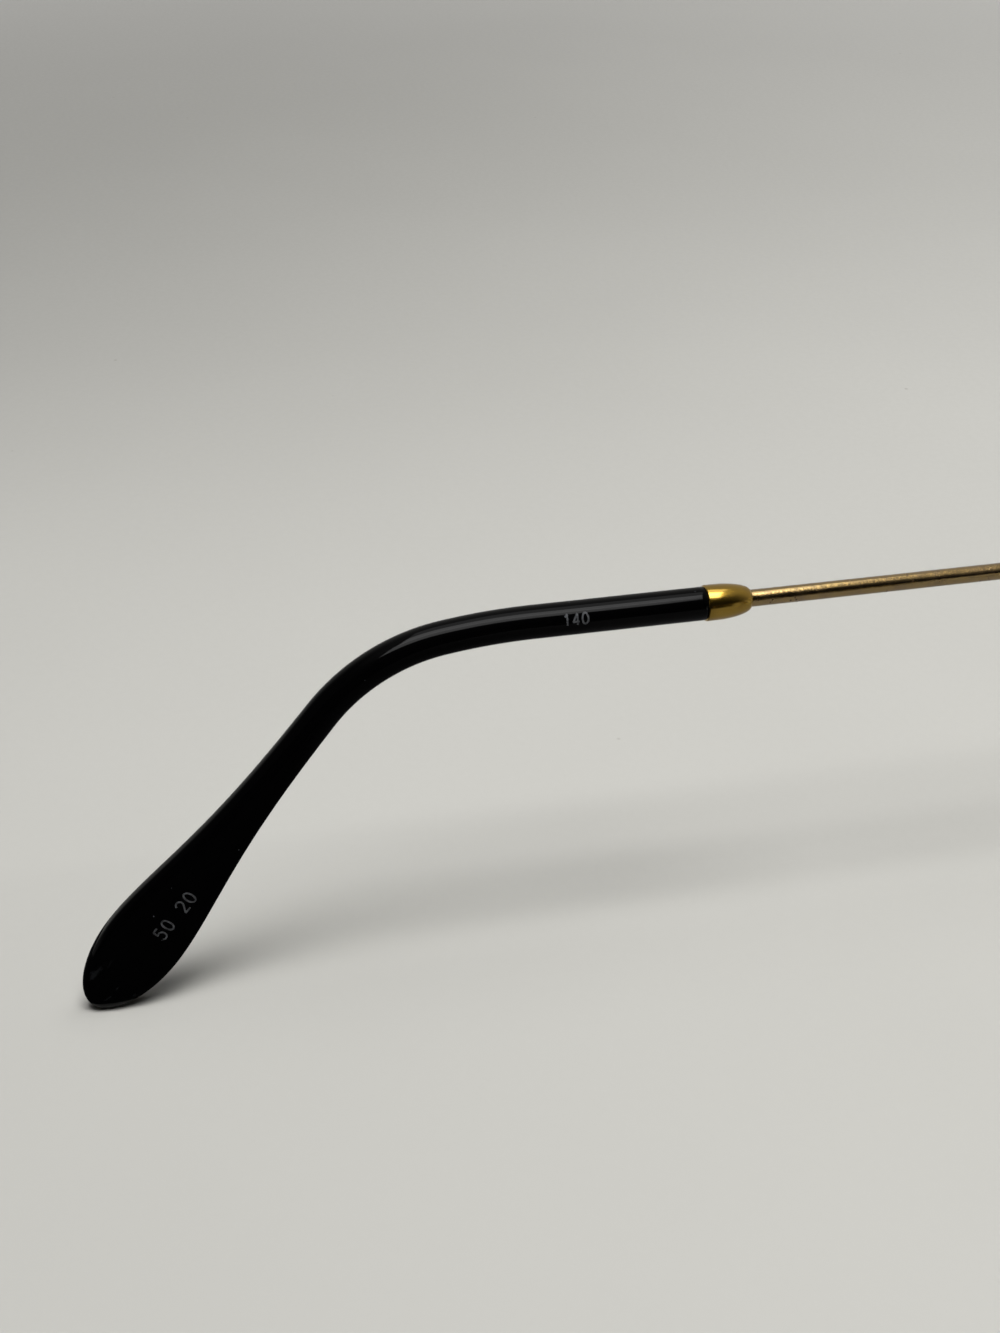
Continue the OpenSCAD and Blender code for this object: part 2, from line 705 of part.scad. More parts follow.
module nose_pad(side) {
    n = pad_steps;
    m = len(pad_layout);
    plate_at = [pad_back_x - insert_t * 2, -insert_w / 2, -insert_l / 2];
    neck_at = [pad_back_x - insert_t, -lug_w / 2, -neck_h / 2];
    room = [solder, solder, solder];
    color([0.85, 0.88, 0.84], 0.6) on_side(side) pad_frame() difference() {
        polyhedron(
            points = concat(
                [for (layer = pad_layout) for (i = [0 : n - 1])
                    let (e = pad_edge(360 * i / n) * layer[0]) [layer[1], e[0], e[1]]],
                [[pad_back_x - pad_t, 0, 0]]
            ),
            faces = concat(
                [[for (k = [n - 1 : -1 : 0]) k]],
                tube_faces(0, n, m),
                [for (k = [0 : n - 1]) [(m - 1) * n + k, (m - 1) * n + (k + 1) % n, m * n]]
            )
        );
        translate(plate_at - room) cube([insert_t, insert_w, insert_l] + 2 * room);
        translate(neck_at - room) cube([insert_t + 1, lug_w, neck_h] + 2 * room);
    }
}

rim(LEFT);  // rim_left
rim(RIGHT);  // rim_right
lens(LEFT);  // lens_left
lens(RIGHT);  // lens_right
bridge();
closing_block(LEFT, true);  // closing_block_upper_left
closing_block(RIGHT, true);  // closing_block_upper_right
closing_block(LEFT, false);  // closing_block_lower_left
closing_block(RIGHT, false);  // closing_block_lower_right
rim_screw(LEFT);  // rim_screw_left
rim_screw(RIGHT);  // rim_screw_right
endpiece(LEFT);  // endpiece_left
endpiece(RIGHT);  // endpiece_right
temple_hinge(LEFT);  // temple_hinge_left
temple_hinge(RIGHT);  // temple_hinge_right
hinge_screw(LEFT);  // hinge_screw_left
hinge_screw(RIGHT);  // hinge_screw_right
temple_rod(LEFT);  // temple_rod_left
temple_rod(RIGHT);  // temple_rod_right
ferrule(LEFT);  // ferrule_left
ferrule(RIGHT);  // ferrule_right
temple_tip(LEFT);  // temple_tip_left
temple_tip(RIGHT);  // temple_tip_right
pad_arm(LEFT);  // pad_arm_left
pad_arm(RIGHT);  // pad_arm_right
pad_box(LEFT);  // pad_box_left
pad_box(RIGHT);  // pad_box_right
pad_insert(LEFT);  // pad_insert_left
pad_insert(RIGHT);  // pad_insert_right
nose_pad(LEFT);  // nose_pad_left
nose_pad(RIGHT);  // nose_pad_right
pad_screw(LEFT);  // pad_screw_left
pad_screw(RIGHT);  // pad_screw_right
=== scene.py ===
"""Blender scene of a full-rim wire eyeglass frame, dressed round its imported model.

Sizes are in millimetres in the classes below. They become metres where a mesh is made, in
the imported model's own axes: X to the wearer's left, Y from the front to the ears, Z up.
"""
import json
import logging
import math
from dataclasses import dataclass, replace
from enum import Enum
from typing import Callable, Optional, Sequence, Union

import bmesh
import bpy
import numpy as np
from mathutils import Matrix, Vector
from numpy.typing import NDArray


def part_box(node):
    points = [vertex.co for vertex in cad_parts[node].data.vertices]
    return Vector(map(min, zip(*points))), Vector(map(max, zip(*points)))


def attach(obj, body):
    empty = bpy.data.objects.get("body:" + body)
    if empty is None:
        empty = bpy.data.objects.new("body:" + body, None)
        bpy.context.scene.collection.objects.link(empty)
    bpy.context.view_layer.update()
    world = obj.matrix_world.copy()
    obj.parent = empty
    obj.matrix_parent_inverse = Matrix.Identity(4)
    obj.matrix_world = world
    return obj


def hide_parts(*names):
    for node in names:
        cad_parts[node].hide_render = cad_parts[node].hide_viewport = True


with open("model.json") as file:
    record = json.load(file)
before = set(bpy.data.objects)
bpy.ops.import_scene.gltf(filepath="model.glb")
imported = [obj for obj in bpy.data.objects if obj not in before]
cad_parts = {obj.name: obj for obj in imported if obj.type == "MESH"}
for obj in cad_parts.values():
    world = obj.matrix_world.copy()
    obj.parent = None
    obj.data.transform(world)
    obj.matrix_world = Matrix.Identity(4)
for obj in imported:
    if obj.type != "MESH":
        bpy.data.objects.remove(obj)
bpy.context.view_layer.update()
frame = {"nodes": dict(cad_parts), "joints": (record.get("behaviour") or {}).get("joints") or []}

Array = NDArray[np.float64]
Faces = NDArray[np.int64]
Number = Union[float, Array]
Placing = Callable[[Array], Array]
Span = tuple[float, float]
Triple = tuple[float, float, float]
Socket = bpy.types.NodeSocket
Value = Union[Socket, float, Sequence[float]]

log = logging.getLogger("eyeglass frame")
MM = 0.001
TURN = 2 * math.pi
STRAIGHT = "straight"


class Side(Enum):
    """The wearer's left and right."""

    LEFT = 1
    RIGHT = -1

    def of(self, name: str) -> str:
        """A name with this side behind it, as nodes, bodies and pieces have it."""
        return f"{name}_{self.name.lower()}"

    def place(self, points: Array) -> Array:
        """Points drawn for the left side, moved to this side."""
        return points * np.array([float(self.value), 1.0, 1.0])


# Surfaces


@dataclass(frozen=True)
class Shell:
    """One closed surface.

    Args:
        points: Corners in millimetres, one row each.
        faces: Rows of four corner numbers.
        caps: Triangles that close the ends, where it has ends.
        straight: The same corners on the piece laid out straight, for patterns that
            follow it. Column 0 is the distance along the piece.
    """

    points: Array
    faces: Faces
    caps: Faces
    straight: Array

    def moved(self, change: Placing) -> "Shell":
        """The same surface with its points passed through a function."""
        return replace(self, points=change(self.points))

    def outward(self) -> "Shell":
        """The same surface with its faces turned outwards.

        Six times the volume is the sum of a . (b x c) over all triangles, and it is
        negative where the faces look inwards.
        """
        triangles = np.concatenate([self.faces[:, :3], self.faces[:, [0, 2, 3]], self.caps])
        corner = self.points[triangles]
        volume = np.einsum("ij,ij->", corner[:, 0], np.cross(corner[:, 1], corner[:, 2]))
        if volume > 0:
            return self
        return replace(self, faces=self.faces[:, ::-1], caps=self.caps[:, ::-1])


def ring_faces(count: int, sides: int, wrap: bool = False) -> Faces:
    """Quads between neighbouring rings of points.

    Args:
        count: Number of rings.
        sides: Points in each ring.
        wrap: True if the last ring joins the first.

    Returns:
        One row of four corner numbers for each quad.
    """
    ring = np.arange(count if wrap else count - 1)[:, None]
    step = np.arange(sides)[None, :]
    here, after = ring * sides, (ring + 1) % count * sides
    beside = (step + 1) % sides
    corners = (here + step, here + beside, after + beside, after + step)
    return np.stack(np.broadcast_arrays(*corners), -1).reshape(-1, 4)


def tube(rings: Array, straight: Array | None = None) -> Shell:
    """A surface through rings of points, closed at both ends by a fan to the ring's centre.

    Args:
        rings: Points as (ring, point in the ring, 3).
        straight: The same points laid out straight, or None to keep them as they are.

    Returns:
        The closed surface.
    """
    count, sides = rings.shape[:2]
    points, flat = (
        np.concatenate([kind.reshape(-1, 3), kind[:1].mean(1), kind[-1:].mean(1)])
        for kind in (rings, rings if straight is None else straight)
    )
    step = np.arange(sides)
    beside = (step + 1) % sides
    first = np.stack([np.full(sides, count * sides), beside, step], -1)
    last = np.stack([np.full(sides, count * sides + 1), step, beside], -1)
    last[:, 1:] += (count - 1) * sides
    return Shell(points, ring_faces(count, sides), np.concatenate([first, last]), flat).outward()


def hoop(rings: Array, straight: Array) -> Shell:
    """A surface through rings of points whose last ring joins the first, such as a washer."""
    count, sides = rings.shape[:2]
    faces = ring_faces(count, sides, True)
    no_caps = np.empty((0, 3), np.int64)
    return Shell(rings.reshape(-1, 3), faces, no_caps, straight.reshape(-1, 3)).outward()


def unit(vectors: Array) -> Array:
    """Vectors scaled to length 1."""
    return vectors / np.maximum(np.linalg.norm(vectors, axis=-1, keepdims=True), 1e-12)


def along(path: Array) -> Array:
    """Distance from the start of a path to each of its points."""
    return np.concatenate([[0.0], np.cumsum(np.linalg.norm(np.diff(path, axis=0), axis=1))])


def column(values: Array, rings: Array) -> Array:
    """One value for each ring, as a column to stand beside the ring's points."""
    return np.broadcast_to(values[:, None, None], rings.shape[:2] + (1,))


def carried(path: Array, section: Array, up: Sequence[float] = (0, 0, 1)) -> tuple[Array, Array]:
    """A profile carried along a path.

    Each ring is path + across * x + rise * y, where across is the direction of the path
    turned square to up, and rise is square to both.

    Args:
        path: Points of the path, (m, 3).
        section: The profile at each point, (m, n, 2).
        up: Direction that the profile's second axis keeps closest to.

    Returns:
        The rings in place, and the same rings laid out straight.
    """
    way = unit(np.gradient(path, axis=0))
    across = unit(np.cross(way, np.asarray(up, float)))
    rise = np.cross(across, way)
    rings = path[:, None] + section[..., :1] * across[:, None] + section[..., 1:] * rise[:, None]
    return rings, np.concatenate([column(along(path), section), section], -1)


def circle(radius: Number, sides: int) -> Array:
    """Points of a circle, or of one circle for each of several radii."""
    angle = np.arange(sides) * TURN / sides
    ring = np.stack([np.cos(angle), np.sin(angle)], -1)
    return np.asarray(radius, float)[..., None, None] * ring


def turned(profile: Array, sides: int) -> Array:
    """Rings of a turned shape about Z, from rows of radius and height."""
    rings = circle(profile[:, 0], sides)
    return np.concatenate([rings, column(profile[:, 1], rings)], -1)


def bezier(share: Array, handles: Sequence[Array]) -> Array:
    """A curve: the sum of C(n, k) (1 - u)^(n - k) u^k times handle k, for k from 0 to n."""
    n = len(handles) - 1
    weights = (math.comb(n, k) * (1 - share) ** (n - k) * share**k for k in range(n + 1))
    return sum(weight * handle for weight, handle in zip(weights, handles))


def rounded(corners: Array, radii: Sequence[float], steps: int = 5) -> Array:
    """A closed outline with its corners rounded.

    A corner becomes a quadratic curve from the point one radius before it to the point
    one radius after it, with the corner as its handle.

    Args:
        corners: Corners of the outline in order, (n, 2).
        radii: Length taken off each side of each corner.
        steps: Points in each rounded corner, less one.

    Returns:
        The points of the rounded outline.
    """
    before, after = (np.roll(corners, shift, 0) - corners for shift in (1, -1))
    shorter = np.minimum(np.linalg.norm(before, axis=1), np.linalg.norm(after, axis=1))
    cut = np.minimum(radii, shorter * 0.49)[:, None]
    ends = corners + cut * unit(before), corners, corners + cut * unit(after)
    share = np.linspace(0, 1, steps + 1)[None, :, None]
    return bezier(share, [end[:, None] for end in ends]).reshape(-1, 2)


def eased(share: Array) -> Array:
    """A smooth step from 0 to 1, 3 u^2 - 2 u^3, for shares held between 0 and 1."""
    held = np.clip(share, 0, 1)
    return held * held * (3 - 2 * held)


# Pieces


def placed(name: str, data: bpy.types.ID) -> bpy.types.Object:
    """A new object, put into the scene."""
    thing = bpy.data.objects.new(name, data)
    bpy.context.scene.collection.objects.link(thing)
    return thing


def lay_out(mesh: bpy.types.Mesh, places: Array) -> None:
    """Writes each corner's place on the piece laid out straight, in metres."""
    layer = mesh.attributes.new(STRAIGHT, "FLOAT_VECTOR", "POINT")
    layer.data.foreach_set("vector", places.astype(np.float32).ravel())


def finished(piece: bpy.types.Object, finish: "Finish", body: str, node: str) -> bpy.types.Object:
    """Gives an object its material and body, hides the CAD node it stands for, and logs its slot.
    """
    piece.data.materials.clear()
    piece.data.materials.append(finish.material())
    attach(piece, body)
    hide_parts(node)
    log.info("%s: %d points, %s", piece.name, len(piece.data.vertices), finish.slot)
    return piece


def make_piece(
    name: str, shells: Sequence[Shell], finish: "Finish", body: str, node: str, crease: float = 32.0
) -> bpy.types.Object:
    """Puts surfaces into one mesh object that stands for a CAD node.

    Args:
        name: Name of the piece.
        shells: Its closed surfaces, in place.
        finish: What it is made of.
        body: The CAD body that it rides on.
        node: The CAD node that it replaces.
        crease: Angle in degrees past which an edge between faces shows.

    Returns:
        The new object.
    """
    faces: list[list[int]] = []
    start = 0
    for shell in shells:
        faces += (shell.faces + start).tolist() + (shell.caps + start).tolist()
        start += len(shell.points)
    mesh = bpy.data.meshes.new(name)
    points = np.concatenate([shell.points for shell in shells])
    mesh.from_pydata((points * MM).tolist(), [], faces)
    lay_out(mesh, np.concatenate([shell.straight for shell in shells]) * MM)
    mesh.polygons.foreach_set("use_smooth", np.ones(len(mesh.polygons), bool))
    mesh.set_sharp_from_angle(angle=math.radians(crease))
    return finished(placed(name, mesh), finish, body, node)


def dress(piece: bpy.types.Object, finish: "Finish", faces: Faces) -> None:
    """Gives some faces of a piece a second finish."""
    piece.data.materials.append(finish.material())
    which = np.zeros(len(piece.data.polygons), np.int32)
    which[faces] = len(piece.data.materials) - 1
    piece.data.polygons.foreach_set("material_index", which)


MERGED_M = 1e-6
FLAT_ANGLE = math.radians(0.4)
SHARP_ANGLE = math.radians(35)


def softened(node: str, name: str, edge: float, finish: "Finish", body: str) -> None:
    """Makes a machined part: the CAD node's own shape with its sharp edges rounded.

    Args:
        node: The CAD node, which the new piece replaces.
        name: Name of the new piece.
        edge: Width of the rounding in millimetres.
        finish: What it is made of.
        body: The CAD body that it rides on.
    """
    shape = bmesh.new()
    shape.from_mesh(frame["nodes"][node].data)
    bmesh.ops.remove_doubles(shape, verts=shape.verts, dist=MERGED_M)
    bmesh.ops.dissolve_limit(shape, angle_limit=FLAT_ANGLE, verts=shape.verts, edges=shape.edges)
    mesh = bpy.data.meshes.new(name)
    shape.to_mesh(mesh)
    shape.free()
    piece = placed(name, mesh)
    rounding = piece.modifiers.new("rounded edges", "BEVEL")
    rounding.width = edge * MM
    rounding.segments = 2
    rounding.limit_method = "ANGLE"
    rounding.angle_limit = SHARP_ANGLE
    rounding.harden_normals = True
    bpy.context.view_layer.update()
    settled = bpy.data.meshes.new_from_object(
        piece.evaluated_get(bpy.context.evaluated_depsgraph_get())
    )
    piece.modifiers.clear()
    piece.data = settled
    places = np.empty(len(settled.vertices) * 3)
    settled.vertices.foreach_get("co", places)
    lay_out(settled, places.reshape(-1, 3))
    finished(piece, finish, body, node)


# Finishes


@dataclass(frozen=True)
class Noise:
    """A pattern of soft noise between 0 and 1.

    Args:
        scale: Features per metre.
        detail: How many finer layers it has.
        rough: How strong these are.
        stretch: What each axis is multiplied by first, or None.
    """

    scale: float
    detail: float = 3.0
    rough: float = 0.55
    stretch: Optional[Triple] = None


class Nodes:
    """Short calls that add nodes to one tree."""

    def __init__(self, tree: bpy.types.NodeTree) -> None:
        """Keeps the tree."""
        self.tree = tree

    def feed(self, socket: Socket, value: Value) -> None:
        """Links a socket to another one, or sets it to a number, a vector or a colour."""
        if isinstance(value, bpy.types.NodeSocket):
            self.tree.links.new(value, socket)
        else:
            socket.default_value = (*value, 1.0) if socket.type == "RGBA" else value

    def add(self, kind: str, given: Optional[dict] = None, **settings: str) -> bpy.types.Node:
        """Adds a node.

        Args:
            kind: Its type's name in Blender, less the word ShaderNode.
            given: What goes into its inputs, by their names or numbers.
            settings: Its properties, which are set first.

        Returns:
            The new node.
        """
        node = self.tree.nodes.new("ShaderNode" + kind)
        for key, value in settings.items():
            setattr(node, key, value)
        for key, value in (given or {}).items():
            self.feed(node.inputs[key], value)
        return node

    def places(self, laid_out: bool = True) -> Socket:
        """Places on the piece laid out straight, or places in the row frame."""
        if laid_out:
            return self.add("Attribute", attribute_name=STRAIGHT).outputs["Vector"]
        return self.add("TexCoord").outputs["Object"]

    def axes(self, vector: Socket) -> tuple[Socket, ...]:
        """X, Y and Z of a vector, or red, green and blue of a colour."""
        return tuple(self.add("SeparateXYZ", {"Vector": vector}).outputs)

    def noise(self, places: Socket, kind: Noise) -> Socket:
        """Soft noise of one kind."""
        if kind.stretch:
            stretched = self.add("Mapping", {"Vector": places, "Scale": kind.stretch})
            places = stretched.outputs["Vector"]
        size = {"Scale": kind.scale, "Detail": kind.detail, "Roughness": kind.rough}
        return self.add("TexNoise", {"Vector": places, **size}).outputs["Fac"]

    def specks(
        self, places: Socket, scale: float, size: Span, chance: Span, part: int = 0
    ) -> Socket:
        """Round specks at scattered points, of which few are chosen.

        Args:
            places: Where the surface is.
            scale: Points per metre.
            size: Distances from a point at which a speck ends and at which it is full.
            chance: Range over which a point's random number makes its speck appear.
            part: Which of a point's three random numbers counts.

        Returns:
            1 inside a speck and 0 elsewhere.
        """
        cell = self.add("TexVoronoi", {"Vector": places, "Scale": scale}).outputs
        chosen = self.ramp(self.axes(cell["Color"])[part], *chance)
        return self.times(self.ramp(cell["Distance"], *size), chosen)

    def ramp(
        self, value: Socket, low: float, high: float, at_low: float = 0.0, at_high: float = 1.0
    ) -> Socket:
        """A value carried smoothly from one range to another."""
        ends = {"From Min": low, "From Max": high, "To Min": at_low, "To Max": at_high}
        node = self.add("MapRange", {"Value": value, **ends}, interpolation_type="SMOOTHSTEP")
        return node.outputs["Result"]

    def chain(self, operation: str, *values: Value) -> Socket:
        """One kind of arithmetic on all values, from the first to the last."""
        total = values[0]
        for value in values[1:]:
            total = self.add("Math", {0: total, 1: value}, operation=operation).outputs[0]
        return total

    def times(self, *values: Value) -> Socket:
        """The product of all values."""
        return self.chain("MULTIPLY", *values)

    def plus(self, *values: Value) -> Socket:
        """The sum of all values."""
        return self.chain("ADD", *values)

    def most(self, *values: Value) -> Socket:
        """The greatest of all values."""
        return self.chain("MAXIMUM", *values)

    def blend(self, share: Value, first: Value, second: Value, kind: str = "RGBA") -> Socket:
        """A mix of two colours, or of two numbers if its kind is FLOAT."""
        given = {"Factor": share, "A": first, "B": second}
        return self.add("Mix", given, data_type=kind).outputs["Result"]

    def relief(self, *layers: tuple[Value, float, float]) -> Socket:
        """Bumps on top of each other, as heights with their strength and depth in millimetres."""
        under: dict[str, Value] = {}
        for height, strength, depth in layers:
            given = {"Height": height, "Strength": strength, "Distance": depth * MM, **under}
            under = {"Normal": self.add("Bump", given).outputs["Normal"]}
        return under["Normal"]


class Graph(Nodes):
    """The nodes of one material, round a Principled shader."""

    def __init__(self, name: str) -> None:
        """Starts a material with nothing but the shader."""
        self.material = bpy.data.materials.new(name)
        self.material.use_nodes = True
        super().__init__(self.material.node_tree)
        self.tree.nodes.clear()
        self.shader = self.add("BsdfPrincipled")
        self.add("OutputMaterial", {"Surface": self.shader.outputs["BSDF"]})

    def give(self, given: dict[str, Value]) -> bpy.types.Material:
        """Sets or links inputs of the shader, and hands over the material."""
        for name, value in given.items():
            self.feed(self.shader.inputs[name], value)
        return self.material


@dataclass(frozen=True)
class Finish:
    """What a piece is made of. A subclass draws the material."""

    name: str
    slot: str

    def material(self) -> bpy.types.Material:
        """The finish's material, made once."""
        return bpy.data.materials.get(self.name) or self.draw()

    def draw(self) -> bpy.types.Material:
        """Draws the material's nodes."""
        raise NotImplementedError


@dataclass(frozen=True)
class PlatedMetal(Finish):
    """Plated wire or machined metal, worn and spotted with use.

    Args:
        fresh: Colour of the plating.
        worn: Colour where it is rubbed.
        rough: Roughness of fresh plating.
        wear: Share of the surface that is worn, from 0 to 1.
        spots: Share of the spots that show, from 0 to 1.
        lines: Strength of the drawing lines along the wire.
        grain: Strength of the fine grain.
        ripple: Strength of the slow unevenness that drawn wire has.
        lacquer: Weight of the clear lacquer over the plating.
        lacquer_rough: Roughness of the lacquer.
        tarnish: Colour of the spots.
        dulled: What full wear adds to the roughness.
        patch_share: Weight of worn patches in the wear. Worn lines have the rest.
        drawn, patches, clusters, fine, waves: Patterns of the drawing lines, the worn
            patches, the places with spots, the grain and the ripple.
        spot_scale: Points per metre at which a spot may be.
        spot_size: Distances from a point at which its spot ends and at which it is full.
        line_depth, fine_depth, wave_depth, spot_depth: Depths in millimetres.
    """

    fresh: Triple
    worn: Triple
    rough: float
    wear: float
    spots: float
    lines: float
    grain: float
    ripple: float = 0.0
    lacquer: float = 0.0
    lacquer_rough: float = 0.12
    tarnish: Triple = (0.10, 0.06, 0.03)
    dulled: float = 0.1
    patch_share: float = 0.74
    drawn: Noise = Noise(9000, 4, stretch=(0.06, 1, 1))
    patches: Noise = Noise(420, 5, 0.62)
    clusters: Noise = Noise(900, 2)
    fine: Noise = Noise(5200, 2)
    waves: Noise = Noise(850, 2)
    spot_scale: float = 2300
    spot_size: Span = (0.34, 0.16)
    line_depth: float = 0.012
    fine_depth: float = 0.006
    wave_depth: float = 0.05
    spot_depth: float = 0.012

    def draw(self) -> bpy.types.Material:
        """Metal in two colours with spots, drawing lines and fine grain."""
        g = Graph(self.name)
        places = g.places()
        drawn, fine = g.noise(places, self.drawn), g.noise(places, self.fine)
        edge = 0.72 - 0.42 * self.wear
        patches = g.noise(places, self.patches)
        rubbed = g.plus(
            g.ramp(patches, edge - 0.12, edge + 0.12, 0.0, self.patch_share),
            g.times(g.ramp(drawn, 0.42, 0.66), 1 - self.patch_share),
        )
        cell = g.add("TexVoronoi", {"Vector": places, "Scale": self.spot_scale}).outputs
        rare = 0.78 - 0.3 * self.spots
        chosen = g.ramp(g.noise(places, self.clusters), rare, rare + 0.06)
        spot = g.times(g.ramp(cell["Distance"], *self.spot_size), chosen)
        layers = [(drawn, self.lines, self.line_depth), (fine, self.grain, self.fine_depth)]
        if self.ripple:
            layers.append((g.noise(places, self.waves), self.ripple, self.wave_depth))
        layers.append((g.times(spot, -1.0), 0.35, self.spot_depth))
        return g.give({
            "Base Color": g.blend(spot, g.blend(rubbed, self.fresh, self.worn), self.tarnish),
            "Metallic": 1.0,
            "Roughness": g.plus(
                g.times(rubbed, self.dulled), self.rough,
                g.ramp(fine, 0.3, 0.7, -0.02, 0.03), g.times(spot, 0.3),
            ),
            "Coat Weight": self.lacquer,
            "Coat Roughness": self.lacquer_rough,
            "Normal": g.relief(*layers),
        })


@dataclass(frozen=True)
class GlossBlack(Finish):
    """Polished black plastic with dust, faint smears and hair-fine scratches.

    Args:
        base: Colour of the plastic.
        dust: Colour of dust and scuffs.
        gloss: Strength of its reflections.
        scuffed: Distances along the tip, in metres, over which its end gets scuffed.
        haze, smears, scuffs, scratches, waves: Patterns.
    """

    base: Triple = (0.0006, 0.0006, 0.0007)
    dust: Triple = (0.16, 0.17, 0.19)
    gloss: float = 0.07
    scuffed: Span = (0.0655, 0.0695)
    haze: Noise = Noise(700, 5, 0.7)
    smears: Noise = Noise(160, 3, stretch=(0.5, 1, 1))
    scuffs: Noise = Noise(900, 4, 0.7, (0.35, 1, 1))
    scratches: Noise = Noise(5200, 2, stretch=(0.12, 1, 1))
    waves: Noise = Noise(380, 2)

    def draw(self) -> bpy.types.Material:
        """Near black with specks of pale dust that are rougher than the plastic."""
        g = Graph(self.name)
        places = g.places()
        speck = g.specks(places, 1900, (0.16, 0.06), (0.975, 0.985))
        scuff = g.times(
            g.ramp(g.noise(places, self.scuffs), 0.6, 0.68, 0.0, 0.05),
            g.ramp(g.axes(places)[0], *self.scuffed),
        )
        haze = g.ramp(g.noise(places, self.haze), 0.5, 0.75)
        smear = g.ramp(g.noise(places, self.smears), 0.35, 0.75, 0.05, 0.11)
        scratch = g.ramp(g.noise(places, self.scratches), 0.62, 0.72)
        wave = g.noise(places, self.waves)
        return g.give({
            "Base Color": g.blend(g.most(g.times(speck, 0.45), scuff), self.base, self.dust),
            "Roughness": g.plus(smear, g.times(speck, 0.4), g.times(haze, 0.08)),
            "Specular IOR Level": self.gloss,
            "Normal": g.relief((wave, 0.12, 0.03), (scratch, 0.05, 0.004), (speck, 0.4, 0.02)),
        })


@dataclass(frozen=True)
class ClearLens(Finish):
    """A clear plastic lens with faint smears."""

    tint: Triple = (0.975, 0.99, 0.985)
    smeared: Triple = (0.93, 0.95, 0.95)
    smears: Noise = Noise(90, 5, 0.65, (1, 1, 0.45))

    def draw(self) -> bpy.types.Material:
        """Clear glass-like plastic whose roughness rises a little in smears."""
        g = Graph(self.name)
        smear = g.noise(g.places(False), self.smears)
        return g.give({
            "Base Color": g.blend(g.ramp(smear, 0.5, 0.8, 0.0, 0.4), self.tint, self.smeared),
            "Roughness": g.ramp(smear, 0.45, 0.8, 0.0, 0.06),
            "Transmission Weight": 1.0,
            "IOR": 1.5,
        })


@dataclass(frozen=True)
class ClearSilicone(Finish):
    """Clear soft silicone with a dull skin, a little yellowed in places."""

    tint: Triple = (0.90, 0.92, 0.89)
    aged: Triple = (0.86, 0.85, 0.76)
    clouds: Noise = Noise(260, 4)
    skin: Noise = Noise(2600)

    def draw(self) -> bpy.types.Material:
        """Milky clear plastic with soft uneven gloss."""
        g = Graph(self.name)
        places = g.places()
        cloud, skin = g.noise(places, self.clouds), g.noise(places, self.skin)
        return g.give({
            "Base Color": g.blend(g.ramp(cloud, 0.35, 0.7, 0.0, 0.8), self.tint, self.aged),
            "Roughness": g.ramp(skin, 0.3, 0.7, 0.16, 0.26),
            "Transmission Weight": 0.82,
            "IOR": 1.41,
            "Subsurface Weight": 0.1,
            "Subsurface Scale": 0.002,
            "Normal": g.relief((skin, 0.06, 0.006)),
        })


@dataclass(frozen=True)
class GroundEdge(Finish):
    """The ground edge of a lens, which is frosted."""

    tint: Triple = (0.80, 0.84, 0.83)
    grain: Noise = Noise(6000, 2)

    def draw(self) -> bpy.types.Material:
        """Pale plastic that lets light through and scatters it."""
        g = Graph(self.name)
        return g.give({
            "Base Color": self.tint,
            "Roughness": g.ramp(g.noise(g.places(False), self.grain), 0.3, 0.7, 0.5, 0.65),
            "Transmission Weight": 0.45,
            "IOR": 1.5,
        })


@dataclass(frozen=True)
class Ink(Finish):
    """Printed figures, a little rubbed."""

    fresh: Triple = (0.075, 0.078, 0.083)
    rubbed: Triple = (0.03, 0.031, 0.034)
    patches: Noise = Noise(2600, 4, 0.65)

    def draw(self) -> bpy.types.Material:
        """Flat grey ink that is thinner in patches."""
        g = Graph(self.name)
        thin = g.ramp(g.noise(g.places(), self.patches), 0.42, 0.68)
        return g.give({
            "Base Color": g.blend(thin, self.fresh, self.rubbed),
            "Roughness": g.ramp(thin, 0.0, 1.0, 0.45, 0.3),
            "Specular IOR Level": 0.1,
        })


ROOM_TINT = (1.0, 0.985, 0.955)


